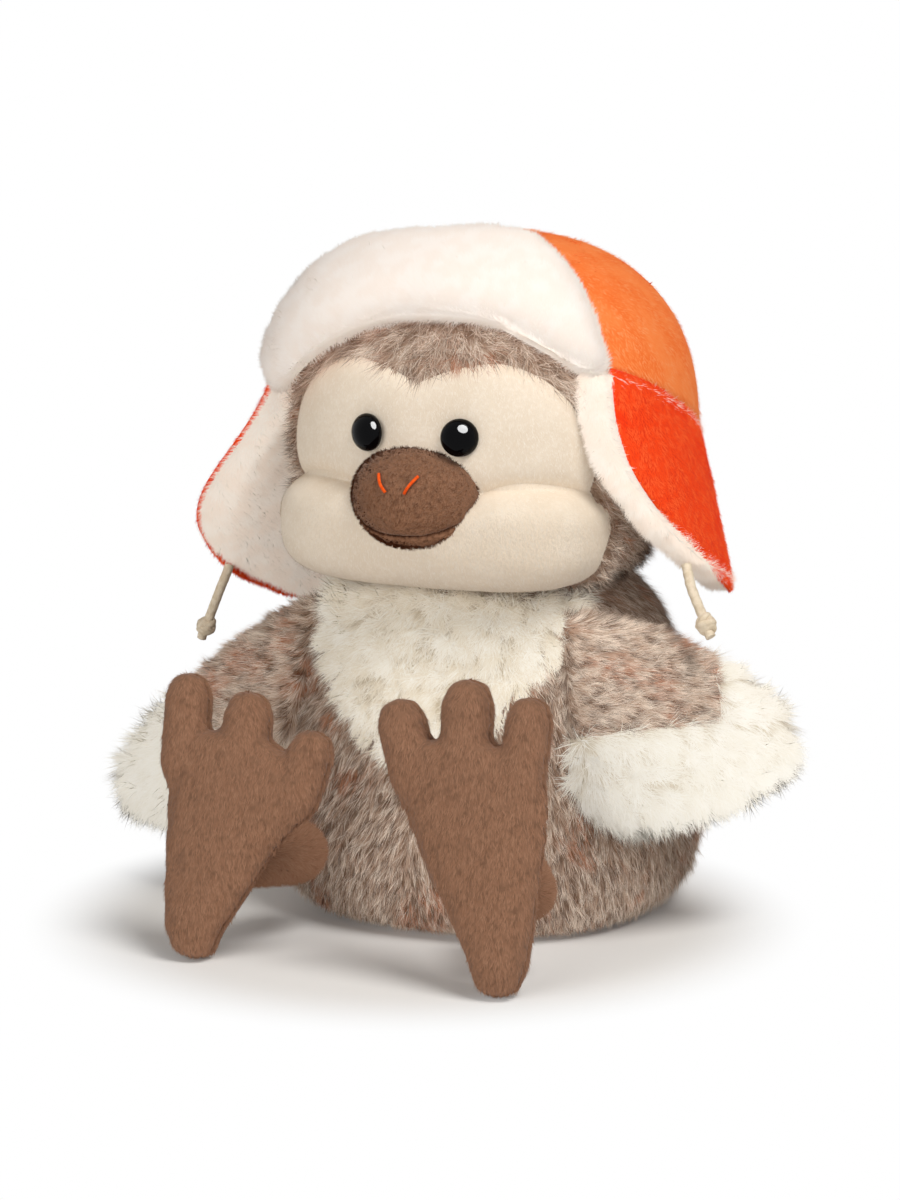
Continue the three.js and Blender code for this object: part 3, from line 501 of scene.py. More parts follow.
# %% [markdown]
# ## Pieces that start from the solid model
# The feet, legs, wings and beak have their exact form in the solid model already, but it is made of flat
# facets. A voxel remesh wraps such a solid in small even quads, and smoothing then rounds the facets and the
# sharp cuts as stuffing rounds real cloth. The copy is merged by distance first, because the file holds each
# facet with its own corners and a remesh needs one closed surface.

# %% Cloth from solids
def cloth_from(node, name, material, body, slot, voxel, rounds, fill):
    """A smooth skin over one solid of the frame."""
    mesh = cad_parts[node].data.copy()
    work = bmesh.new()
    work.from_mesh(mesh)
    bmesh.ops.remove_doubles(work, verts=work.verts, dist=1e-6)
    work.to_mesh(mesh)
    work.free()
    rough = in_scene("rough", mesh)
    remesh = rough.modifiers.new("even quads", "REMESH")
    remesh.mode = "VOXEL"
    remesh.voxel_size = voxel * MM
    smooth = rough.modifiers.new("rounded", "SMOOTH")
    smooth.factor = 0.5
    smooth.iterations = rounds
    bpy.context.view_layer.update()
    evaluated = rough.evaluated_get(bpy.context.evaluated_depsgraph_get())
    finished = bpy.data.meshes.new_from_object(evaluated)
    bpy.data.objects.remove(rough)
    obj = finish_object(name, finished, material, body, slot)
    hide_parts(node)
    return obj


# %% [markdown]
# ## The tie cords
# Each ear flap ends in a short plaited cotton cord with a knot at its tip. The plait is relief on a tube:
# two families of ridges run round it in opposite directions and cross in a herringbone. The knot is a few
# turns of the same cord wound over each other into a ball. Both cords are simple enough to lay on points
# measured in the photo.

# %% Cords
CORD_RADIUS = 1.65
CORD_START = {"left": np.array([75.03, -11.5, 119.77]), "right": np.array([-91.09, -4.29, 107.01])}
CORD_STEPS = {
    "left": [[0, 0, 0], [1.4, -1.9, -2.6], [3.8, -5.2, -6.4], [8.3, -8.1, -13.6]],
    "right": [[0, 0, 0], [-0.7, -1, -3], [-2.7, -1.9, -8.3], [-6.8, -1.8, -18]],
}
KNOT_RADIUS, LOOP_RADIUS, KNOT_CORD = 3.4, 1.7, 1.2
KNOT_TURNS = (  # tilt, turn, radius, shift along the cord
    (0.25, 0.0, 2.3, 0.0), (0.5, 2.0, 1.75, -1.5), (0.35, 4.0, 1.75, 1.6), (1.1, 1.2, 2.15, 0.0))
PLAIT_TWIST = 0.9  # radians for each millimetre of cord
ASKEW = (0.3, 0.8, 0.5)  # a direction that no cord follows


def tube(line, radius, around, plait=0.0):
    """Points and faces of a tube along a line, with the ridges of a plait if asked."""
    along = unit(np.gradient(line, axis=0))
    side = np.cross(along[0], ASKEW)
    angle = np.linspace(0, 2 * np.pi, around, endpoint=False)
    rings = []
    for point, way, s in zip(line, along, distance_along(line)):
        side = unit(side - way * (side @ way))
        across = np.cross(way, side)
        one = np.abs(np.sin(angle + PLAIT_TWIST * s)) ** 0.6
        other = np.abs(np.sin(angle - PLAIT_TWIST * s)) ** 0.6
        r = radius * (1 - plait * (1 - 0.5 * (one + other))) if plait else np.full(around, radius)
        rings.append(point + r[:, None] * (np.cos(angle)[:, None] * side + np.sin(angle)[:, None] * across))
    return closed_form(rings, (line[0], line[-1]))


def turned_ring(centre, radius, tilt, turn, way, count=40):
    """A closed ring round the cord's own direction, tilted by one angle towards a side given by another."""
    side = unit(np.cross(way, ASKEW))
    across = np.cross(way, side)
    towards = math.cos(turn) * side + math.sin(turn) * across
    first = np.cross(way, towards)
    second = math.cos(tilt) * towards + math.sin(tilt) * way
    angle = np.linspace(0, 2 * np.pi, count)[:, None]
    return centre + radius * (np.cos(angle) * first + np.sin(angle) * second)


def make_cord(side):
    route = CORD_START[side] + np.array(CORD_STEPS[side], float)
    way = unit(route[-1] - route[-2])
    centre = route[-1] + (KNOT_RADIUS + 0.3) * way
    loop = turned_ring(centre, LOOP_RADIUS, math.pi / 2, 0.4, way, 25)
    loop = np.roll(loop[:-1], -int(np.argmin((loop[:-1] - centre) @ way)), axis=0)
    inside = np.vstack([loop, loop[:12], [centre + (KNOT_RADIUS + 1.2) * way]])
    line = even(np.vstack([spline(route, 12), inside]), 130, closed=False)
    points, faces = tube(line, CORD_RADIUS, 20, plait=0.16)
    cord = make_object(f"tie_cord_{side}", points, faces, "cotton", f"tie_{side}", "cotton_cord")
    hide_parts(f"tie_cord_{side}")
    points, faces = [], []
    for tilt, turn, radius, shift in KNOT_TURNS:
        more, quads = tube(turned_ring(centre + shift * way, radius, tilt, turn, way), KNOT_CORD, 14, plait=0.14)
        faces += [[v + sum(map(len, points)) for v in face] for face in quads]
        points.append(more)
    knot = make_object(f"cord_knot_{side}", np.vstack(points), faces, "cotton", f"tie_{side}", "cotton_cord")
    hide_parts(f"cord_knot_{side}")
    length = float(np.linalg.norm(np.diff(line, axis=0), axis=1).sum())
    return length


for side in SIGN:
    print("cord", side, round(make_cord(side), 1), "mm")

# %% [markdown]
# ## The head and its face
# The head is a rounded box with a wide muzzle set low at the front. Both are super-ellipsoids: an ellipsoid
# whose power, 2.3 or 3.2 where 2 is round, makes it a little square. From a point inside both, each direction
# meets the outer of the two surfaces once, so the whole skin is a sphere of directions pushed out to that
# distance. The two face panels are separate cloth. They are outlines in the front view laid onto the head,
# slightly proud of it, and pulled in along their seams as thread pulls them.

# %% Head forms
HEAD = {"centre": (0, 2, 160), "half": (62, 57), "up": 55.5, "down": 49, "power": 2.3}
MUZZLE = {"centre": (0, -12, 131), "half": (57, 46), "up": 20, "down": 22, "power": 3.2}
HEAD_MIDDLE = np.array([0, -8, 140])
HEAD_Z = HEAD["centre"][2]
FORWARD = np.array([0.0, -1.0, 0.0])
BROW = [[0, 19.5], [12, 24.2], [26, 26.2], [38, 22], [46.5, 14], [52, 2], [53, -8], [51, -16]]
CREASE = [[51, -16], [43, -12.9], [33, -12], [24, -14.5], [18, -18.8], [0, -20]]
CHEEK = [[51, -16], [55.4, -21], [56.6, -27], [55.6, -36], [52.5, -42], [46, -46], [34, -48.3], [0, -49]]
HEM = 2.5  # how far from its seam a panel is pulled in


def depth_in(form, points, grow=0.0):
    """Below 1 inside a form, and above 1 outside it."""
    q = points - np.array(form["centre"])
    tall = np.where(q[..., 2] > 0, form["up"], form["down"]) + grow
    power = form["power"]
    level = np.abs(q[..., 0] / (form["half"][0] + grow))**power
    return level + np.abs(q[..., 1] / (form["half"][1] + grow))**power + np.abs(q[..., 2] / tall)**power


def in_head(points, grow=0.0):
    return np.minimum(depth_in(HEAD, points, grow), depth_in(MUZZLE, points, grow)) < 1


def push_out(start, way, reach, inside):
    """The last point inside a form on the way from each start. The way is one direction, or one for each."""
    low, high = np.zeros(len(start)), np.full(len(start), float(reach))
    for _ in range(30):
        middle = (low + high) / 2
        held = inside(start + middle[:, None] * way)
        low, high = np.where(held, middle, low), np.where(held, high, middle)
    return start + low[:, None] * way


def front_of(inside, depth, reach=90):
    """A rule that lays places of the front view onto a form, from a plane inside it."""
    def lay(x, z):
        return push_out(np.stack([x, np.full(np.shape(x), depth), z], axis=-1), FORWARD, reach, inside)

    return lay


def both_sides(half):
    """A closed outline from its half, which starts and ends on the middle line."""
    return np.vstack([half, (half * [-1, 1])[::-1][1:-1]])


def lay_panel(name, outline, centre, middle, project, material, slot, proud=0.5, seam=1.8, steps=44):
    """Cloth inside an outline, laid on a form: proud of it, and pulled towards its middle along the edge."""
    count = len(outline)
    share = np.sin(np.linspace(np.pi / 2, 0, steps, endpoint=False))
    rings = centre + share[:, None, None] * (outline - centre)
    flat = np.vstack([rings.reshape(-1, 2), [centre]])
    points = project(*flat.T)
    faces = grid_faces(steps, count) + fan(len(points) - 1, np.arange(count) + (steps - 1) * count)
    obj = make_object(name, points, faces, material, "bird", slot)
    outward = unit(points - middle)
    if np.sum(points_of(obj)[1] * outward) < 0:
        obj.data.flip_normals()
    offset = proud - (proud + seam) * np.exp(-(gap_to(even(outline, 3 * count), flat) / HEM)**1.3)
    move_points(obj, points + offset[:, None] * outward)
    return obj


brow_outline = even(both_sides(np.vstack([spline(BROW, 6), spline(CREASE, 6)[1:]])), 260)
tucked = spline(CREASE, 6)[::-1] + [0, 0.7]
cheek_outline = even(both_sides(np.vstack([tucked, spline(CHEEK, 6)[1:]])), 260)
front_of_head = front_of(in_head, -6.0)

# %% [markdown]
# ## The skins of the head
# The head's skin starts as a sphere of small triangles, whose points are the directions. It lies a little
# below the measured surface, because the pile adds height, and deeper still behind the face panels, so that it
# never shows through them. The upper panel sinks round each eye, where the eye's shank pulls the cloth in.

# %% Head and face
EYES = {side: np.array([SIGN[side] * 15.4, -53.96, 162.5]) for side in SIGN}
EYE_SINK, EYE_SINK_WIDTH = 1.2, 7.5
BELOW_PANEL, BELOW_FUR = 3.4, 0.6
FACE_BACK, CHIN = -4, -47


def face_region(points, margin):
    """True where a point of the head lies behind a face panel."""
    shrink = 1 - margin / 50
    x, z = points[:, 0] / shrink, (points[:, 2] - HEAD_Z) / shrink
    on_panel = within(brow_outline, x, z) | within(cheek_outline, x, np.maximum(z, CHIN))
    return (points[:, 1] < FACE_BACK) & on_panel


def make_head():
    work = bmesh.new()
    bmesh.ops.create_icosphere(work, subdivisions=6, radius=1)
    ways = unit(np.array([v.co[:] for v in work.verts]))
    faces = [[v.index for v in face.verts] for face in work.faces]
    work.free()
    points = push_out(np.tile(HEAD_MIDDLE, (len(ways), 1)), ways, 120, in_head)
    head = make_object("head_skin", points, faces, "speckled_skin", "bird", "body_fur")
    points, normal = points_of(head)
    below = np.where(face_region(points, 0), BELOW_PANEL, BELOW_FUR)
    move_points(head, points - below[:, None] * normal)
    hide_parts("head_fur")
    return head


def on_face(x, z):
    return front_of_head(x, z + HEAD_Z)


def make_face():
    upper = lay_panel(
        "face_upper", brow_outline, np.array([0, 11.0]), HEAD_MIDDLE, on_face, "face_skin", "face_plush")
    points, normal = points_of(upper)
    sink = np.zeros(len(points))
    for eye in EYES.values():
        far = np.linalg.norm((points - eye)[:, [0, 2]], axis=1)
        sink += EYE_SINK * np.exp(-(far / EYE_SINK_WIDTH)**2)
    move_points(upper, points - sink[:, None] * normal)
    muzzle = lay_panel(
        "face_muzzle", cheek_outline, np.array([0, -33.0]), HEAD_MIDDLE, on_face, "face_skin", "face_plush",
        proud=0.9)
    for obj, node in ((upper, "face_upper"), (muzzle, "face_muzzle")):
        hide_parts(node)
    return upper, muzzle


head_skin = make_head()
face_upper, face_muzzle = make_face()
print("head", len(head_skin.data.polygons), "faces; face", len(face_upper.data.polygons) * 2, "faces")

# %% [markdown]
# ## Eyes and stitches
# The eyes are polished plastic domes pressed into the face. A dome is a profile turned round an axis. The two
# nostrils are single stitches of orange thread.

# %% Eyes and stitches
EYE_RADIUS, EYE_DOME, EYE_LIFT, EYE_SIDES = 6.0, 4.8, 0.4, 64
EYE_COLLAR = [[5.2, -0.8], [5.8, -0.2]]
BEAK = {"centre": (0, -50.4, 143), "half": (21.6, 18.4), "up": 16.5, "down": 17.4, "power": 2.1}
STITCH_RADIUS, STITCH_STEPS = 0.5, 12


def make_eye(side):
    outward = unit(np.array([SIGN[side] * 0.44, -0.9, 0.02]))
    angle = np.linspace(0, np.pi / 2, 24)[:-1]
    dome = zip(EYE_RADIUS * np.cos(angle), 2 * EYE_LIFT + (EYE_DOME - EYE_LIFT) * np.sin(angle))
    across = unit(np.cross(outward, UP))
    upward = np.cross(across, outward)
    turn = np.linspace(0, 2 * np.pi, EYE_SIDES, endpoint=False)
    circle = np.cos(turn)[:, None] * across + np.sin(turn)[:, None] * upward
    rings = [EYES[side] + r * circle + h * outward for r, h in (*EYE_COLLAR, *dome)]
    points = np.vstack([*rings, [EYES[side] + (EYE_DOME + EYE_LIFT) * outward]])
    faces = grid_faces(len(rings), EYE_SIDES)
    faces += fan(len(points) - 1, np.arange(EYE_SIDES) + (len(rings) - 1) * EYE_SIDES)
    eye = make_object(f"eye_{side}", points, faces, "black_gloss", "bird", "black_glaze")
    if np.sum(points_of(eye)[1] @ outward) < 0:
        eye.data.flip_normals()
    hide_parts(f"eye_{side}")
    return eye


def make_stitch(side):
    x = SIGN[side] * np.linspace(6.7, 3.2, STITCH_STEPS)
    on_beak = front_of(lambda points: depth_in(BEAK, points) < 1, -50.0, 60)
    line = on_beak(x, np.linspace(151.4, 146.2, STITCH_STEPS))
    line[:, 1] -= 0.2 + 1.1 * np.sin(np.linspace(0, np.pi, STITCH_STEPS))
    points, faces = tube(line, STITCH_RADIUS, 10)
    stitch = make_object(f"nostril_stitch_{side}", points, faces, "thread", "bird", "orange_thread")
    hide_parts(f"nostril_stitch_{side}")


eyes = {side: make_eye(side) for side in SIGN}
for side in SIGN:
    make_stitch(side)
    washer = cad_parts[f"eye_washer_{side}"]
    washer.data.materials.clear()
    washer.data.materials.append(FABRIC["nylon"])
print("eyes, stitches and washers")

# %% [markdown]
# ## The body
# The torso is an egg with a flat seat. Its outline was measured as the half width and half depth at eleven
# heights. A spline through those rows gives a smooth profile, and each level ring is a slightly square
# ellipse. The cream bib is a panel laid onto its front.

# %% Torso and bib
TORSO_Y = 5
TORSO_POWER = 2.3
TORSO_ROWS = [
    [0, 50, 48], [3, 58, 55], [12, 66, 62], [30, 70, 65], [50, 68, 63], [70, 64, 59],
    [88, 60, 54], [100, 55, 50], [109, 47, 43], [116, 38, 35], [123, 28, 26]]
TORSO_TOP = TORSO_ROWS[-1][0]
SEAT_LIFT = 0.6
BIB = [[40, 124], [42, 104], [40, 95], [35, 84], [27.5, 74], [16, 63], [0, 55]]
BIB_TOP = 112
torso_profile = spline(TORSO_ROWS, 9)


def in_torso(points, grow=0.0):
    x, y, z = np.moveaxis(points, -1, 0)
    half_x, half_y = (np.interp(z, torso_profile[:, 0], torso_profile[:, k]) + grow for k in (1, 2))
    level = np.abs(x / half_x)**TORSO_POWER + np.abs((y - TORSO_Y) / half_y)**TORSO_POWER
    return (level < 1) & (z > -grow) & (z < TORSO_TOP + grow)


def torso_ring(z, half_x, half_y):
    angle = np.linspace(0, 2 * np.pi, 200, endpoint=False)
    x, y = np.cos(angle), np.sin(angle)
    r = (np.abs(x / half_x)**TORSO_POWER + np.abs(y / half_y)**TORSO_POWER) ** (-1 / TORSO_POWER)
    return np.stack([r * x, TORSO_Y + r * y, np.full(len(angle), z)], axis=1)


def make_torso():
    (_, seat_x, seat_y), (_, neck_x, neck_y) = TORSO_ROWS[0], TORSO_ROWS[-1]
    seat = [[SEAT_LIFT, seat_x * s, seat_y * s] for s in (0.3, 0.6, 0.85)]
    neck = [[TORSO_TOP + 0.4, neck_x * s, neck_y * s] for s in (0.8, 0.4)]
    ends = [[0, TORSO_Y, SEAT_LIFT], [0, TORSO_Y, TORSO_TOP + 0.5]]
    points, faces = closed_form([torso_ring(*row) for row in (*seat, *torso_profile, *neck)], ends)
    torso = make_object("torso_skin", points, faces, "speckled_skin", "bird", "body_fur")
    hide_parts("torso_fur")
    return torso


bib_line = spline(BIB, 8)
bib_line = bib_line[bib_line[:, 1] < BIB_TOP]
bib_outline = even(np.vstack([bib_line, (bib_line * [-1, 1])[::-1][1:]]), 200)
torso_skin = make_torso()
bib_skin = lay_panel(
    "bib_skin", bib_outline, np.array([0, 90.0]), np.array([0, TORSO_Y, 85]), front_of(in_torso, TORSO_Y - 8.0),
    "cream_skin", "cream_fur", proud=0.6, seam=1.2, steps=26)
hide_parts("chest_bib")
cloth_from("seat_panel", "seat_skin", "speckled_skin", "bird", "body_fur", 1.6, 2, fill=0.85)
print("torso", len(torso_skin.data.polygons), "faces")

# %% [markdown]
# ## The hat
# The crown is the head's own form, made larger and cut off along a rim: a straight line at each side, where
# the ear flap hangs, and an arch over the brow. Each column of points runs from the top of the head down to
# the rim. The whole hat sits turned 3.8 degrees to one side, so it is built level and turned at the end. The
# visor is a stuffed pad on the front of the crown, with its outline given as directions seen from the middle
# of the head.

# %% Crown and visor
ROLL = math.radians(-3.8)
CROWN_GROW = 6.2
HAT_Y = 2
HEAD_POWER = HEAD["power"]
RIM_ARCH = np.array([
    [-70, 20], [-58, 20], [-49, 22], [-35, 31], [-24, 37], [-13, 40.5], [0, 42], [18, 41.5], [32, 37.5],
    [45, 30.5], [55, 23.5], [62, 20], [70, 20]], float)
HINGE_FRONT, HINGE_BACK = (-34, 20), (45, -12)
VISOR = [
    [0, 36], [18, 34.5], [31, 30.5], [41, 23.5], [50, 17], [56, 17], [57, 27], [58, 40], [58, 52], [54, 63], [30, 70],
    [0, 71], [-30, 69], [-54, 62], [-62, 50], [-63, 36], [-61, 24], [-56, 16], [-49, 14.5], [-42, 17], [-33, 24],
    [-22, 30.5], [-11, 34.5]]


def hat_turn(points):
    """From the level hat to where it sits."""
    x, y, z = np.asarray(points).T
    c, s = math.cos(ROLL), math.sin(ROLL)
    return np.stack([x * c + z * s, y + HAT_Y, z * c - x * s + HEAD_Z], axis=1)


def rim_line(y):
    share = (y - HINGE_FRONT[0]) / (HINGE_BACK[0] - HINGE_FRONT[0])
    return HINGE_FRONT[1] + (HINGE_BACK[1] - HINGE_FRONT[1]) * share


def rim_at(x, y):
    """Height of the rim over a place: the arch over the brow, and the line of the flaps behind it."""
    return np.where(y < HINGE_FRONT[0], np.interp(x, RIM_ARCH[:, 0], RIM_ARCH[:, 1]), rim_line(y))


def crown_point(azimuth, height, grow):
    """A point of the level crown over an azimuth, at a height."""
    a, b, c = (half + grow for half in (*HEAD["half"], HEAD["up"]))
    x, y = np.sin(azimuth), -np.cos(azimuth)
    flat = (np.abs(x / a)**HEAD_POWER + np.abs(y / b)**HEAD_POWER) ** (-1 / HEAD_POWER)
    left = np.maximum(1 - np.abs(np.maximum(height, 0) / c)**HEAD_POWER, 0) ** (1 / HEAD_POWER)
    return np.stack([x * flat * left, y * flat * left, height], axis=-1)


def rim_height(azimuth, grow):
    """Height of the rim over each azimuth, found by steps that halve the error."""
    z = np.zeros(len(azimuth))
    for _ in range(40):
        x, y, _ = crown_point(azimuth, z, grow).T
        z = 0.5 * z + 0.5 * rim_at(x, y)
    return z


def make_cup(name, inner, outer, material, slot, lip):
    """A cup of cloth from the top of the head to the rim, with its two faces and a rounded edge."""
    azimuth = np.linspace(0, 2 * np.pi, 160, endpoint=False)
    rings = []
    for grow, way in ((outer, 1), (inner, -1)):
        rim = rim_height(azimuth, grow)
        top = HEAD["up"] + grow
        for s in np.linspace(0.012, 1, 40)[::way]:
            drop = s * np.arccos(np.clip(np.minimum(rim, top) / top, -0.9, 0.999))
            rings.append(crown_point(azimuth, top * np.cos(drop), grow))
        if way == 1:
            rings.append(crown_point(azimuth, rim - lip, (inner + outer) / 2))
    points, faces = closed_form(rings, [[0, 0, HEAD["up"] + grow] for grow in (outer, inner)])
    return make_object(name, hat_turn(points), faces, material, "hat", slot)


def visor_place(azimuth, elevation, h):
    az, el = np.radians(azimuth), np.radians(elevation)
    way = np.stack([np.cos(el) * np.sin(az), -np.cos(el) * np.cos(az), np.sin(el)], axis=-1)
    x, y, z = (np.abs(way / (np.array([*HEAD["half"], HEAD["up"]]) + CROWN_GROW))**HEAD_POWER).T
    return hat_turn(way * ((x + y + z) ** (-1 / HEAD_POWER) + h)[:, None])


# the crown's plush is a paler copy of the orange: painted light from above
hat_crown = make_cup("hat_crown", 3.7, CROWN_GROW, "crown_skin", "crown_plush", lip=1.0)
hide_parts("hat_crown")
hat_lining = make_cup("hat_lining", 1.0, 3.4, "white_skin", "white_plush", lip=0.2)
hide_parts("hat_lining")
visor_outline = even(spline(VISOR, 8, closed=True), 220)
hat_visor = pad(
    "hat_visor", visor_outline, np.array([0, 52.0]), pillow_section(-0.3, 2.2, -0.3, 7.5, 30, 3.0, 0.03),
    visor_place, "white_skin", "hat", "white_plush", swell=12)
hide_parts("hat_visor")
hat_visor.visible_shadow = False
print("hat", len(hat_crown.data.polygons), "faces")

# %% [markdown]
# ## The ear flaps
# Each flap is two pads sewn together: a thin outer layer of orange plush and a thick lining of white pile
# that rolls out past its front and lower edge. Both follow the same rule, which says how far out from the
# head a point of the flap hangs. The right one hangs nine degrees open and its lower corner stands out.
# Where the lining would run into the head it is pushed outwards, as the cheek pushes the real one.

# %% Flaps
FLAP = [
    [-34, 20], [-36, 2], [-33, -14], [-22, -30.5], [-3, -46], [12, -53.5], [23, -57.5], [34, -54], [42, -38],
    [45, -12]]
FLAP_LEAN, FLAP_DROP = 0.17, 57.5
STRETCH = {"left": 1, "right": 1.09}
SPLAY = {"left": 0, "right": 30}
OPEN = {"left": 0, "right": math.radians(9)}
PROUD = {"left": 3.5, "right": 0}
WRAP = {"left": 2, "right": 0}
FLAP_CENTRE = np.array([6.0, -18.0])
LINING_FACE = -2.8
CHEEK_GAP = 1.0


def flap_outline(side, outside=0.0, tip=1.2, below=0.6):
    """Outline of a flap, wider by outside along its edges and by tip at its lower end, and below its hinge."""
    y = np.linspace(HINGE_BACK[0], HINGE_FRONT[0], 12)[1:-1]
    line = np.vstack([spline(FLAP, 10), np.stack([y, rim_line(y)], axis=1)])
    high = rim_line(line[:, 0])
    line[:, 1] = high - STRETCH[side] * (high - line[:, 1])
    line = even(line, 180)
    along = unit(np.roll(line, -1, axis=0) - np.roll(line, 1, axis=0))
    z = line[:, 1:]
    wider = outside * np.clip((z + 60) / 30, 0.1, 1) + tip * np.clip((-40 - z) / 12, 0, 1)
    line = line + wider * np.stack([along[:, 1], -along[:, 0]], axis=1)
    line[:, 1] = np.minimum(line[:, 1], rim_line(line[:, 0]) - below)
    return line


def flap_place(side):
    """The rule of one flap: from a place in its outline, and a height over it, to a point of the toy."""
    sign = SIGN[side]
    half_x, half_y = (half + CROWN_GROW for half in HEAD["half"])
    front = np.array([sign * (half_x + 1.5), *HINGE_FRONT])
    axis = unit(np.array([0, HINGE_BACK[0] - HINGE_FRONT[0], HINGE_BACK[1] - HINGE_FRONT[1]], float))
    angle = -sign * OPEN[side]

    def place(y, z, h):
        down = np.maximum(0, rim_line(y) - z)
        forward = np.maximum(0, HINGE_BACK[0] - y) / (HINGE_BACK[0] - HINGE_FRONT[0])
        crown_x = half_x * (1 - np.minimum(0.9, np.abs(y / half_y))**HEAD_POWER) ** (1 / HEAD_POWER)
        out = crown_x + FLAP_LEAN * down + SPLAY[side] * (down / FLAP_DROP)**1.5 * forward**2 + h
        p = np.stack([sign * out, y, z], axis=-1) - front
        turned = p * math.cos(angle) + np.cross(axis, p) * math.sin(angle)
        turned += axis * (p @ axis)[:, None] * (1 - math.cos(angle))
        return hat_turn(turned + front)

    return place


def make_flap(side):
    place = flap_place(side)
    outer = pad(
        f"ear_flap_{side}", flap_outline(side), FLAP_CENTRE, pillow_section(-2.5, -0.7, -2.5, 0, 20, 6, 0.012),
        place, "orange_skin", f"flap_{side}", "flap_plush")
    face = LINING_FACE
    section = pillow_section(face - 6.5, face + WRAP[side], face - 9.5, face, 22, 3.0, 0.035)
    section[:, 1] = np.where((section[:, 0] < 0.93) & (section[:, 1] > face), face, section[:, 1])
    lining = pad(
        f"ear_flap_lining_{side}", flap_outline(side, PROUD[side], -1.5, 3.0), FLAP_CENTRE, section, place,
        "white_skin", f"flap_{side}", "white_plush")
    points = points_of(lining)[0]
    caught = in_head(points, CHEEK_GAP)
    outward = np.array([SIGN[side], 0.0, 0.0])
    points[caught] = push_out(points[caught], outward, 30, lambda places: in_head(places, CHEEK_GAP))
    move_points(lining, points)
    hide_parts(f"ear_flap_{side}")
    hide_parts(f"ear_flap_lining_{side}")
    outer.visible_shadow = lining.visible_shadow = side == "left"
    return outer, lining


flaps = {side: make_flap(side) for side in SIGN}
print("flaps", {side: len(outer.data.polygons) for side, (outer, _) in flaps.items()})

# %% [markdown]
# ## Wings, tail, legs, feet and beak
# These follow the solids of the model. The feet and the beak need fine voxels, because their short nap hides
# little. Each foot is two halves of cloth with a seam all round, which stays visible as a groove.

# %% Limbs
PAIRS = (  # piece, material, body, slot, voxel, fill
    ("wing_base", "speckled_skin", "wing", "body_fur", 1.4, 0.7),
    ("wing_tip", "cream_skin", "wing", "cream_fur", 1.4, 0.6),
    ("leg", "brown_skin", "leg_piece", "brown_plush", 1.2, 0.8),
    ("foot_sole", "brown_skin", "foot", "brown_plush", 1.1, 0.8),
    ("foot_upper", "brown_skin", "foot", "brown_plush", 1.1, 0.8))
SINGLES = (  # node, name, material, body, slot, voxel, rounds of smoothing, fill
    ("tail", "tail_skin", "speckled_skin", "tail_piece", "body_fur", 1.4, 12, 0.6),
    ("beak_upper", "beak_upper", "brown_skin", "bird", "brown_plush", 0.7, 20, 0.9),
    ("beak_lower", "beak_lower", "brown_skin", "bird", "brown_plush", 0.7, 20, 0.9),
    ("torso_stuffing", "torso_stuffing", "fibre", "bird", "fibre_fill", 4, 4, 0.9),
    ("head_stuffing", "head_stuffing", "fibre", "bird", "fibre_fill", 4, 4, 0.9),
    ("pellet_pouch", "pellet_pouch", "pouch", "bird", "pouch_cloth", 4, 4, 0.9))
skins = {}
for side in SIGN:
    for piece, material, body, slot, voxel, fill in PAIRS:
        node = f"{piece}_{side}"
        skins[node] = cloth_from(node, node, material, f"{body}_{side}", slot, voxel, 12, fill)
for row in SINGLES:
    skins[row[0]] = cloth_from(*row)
print({name: len(obj.data.polygons) for name, obj in skins.items()})

# %% [markdown]
# ## The pile
# Fur is one small shape repeated many thousands of times, which is what Geometry Nodes are for. The tree
# scatters points over a skin, gives each point a direction, and puts one strand on it. The direction starts
# as the surface's normal and is bent towards the way the pile was combed. Voronoi cells then pull strands
# towards the middle of their cell, so that the tips gather in tufts, and noise ruffles them. The comb
# direction, the density and the height come from attributes that each skin carries.

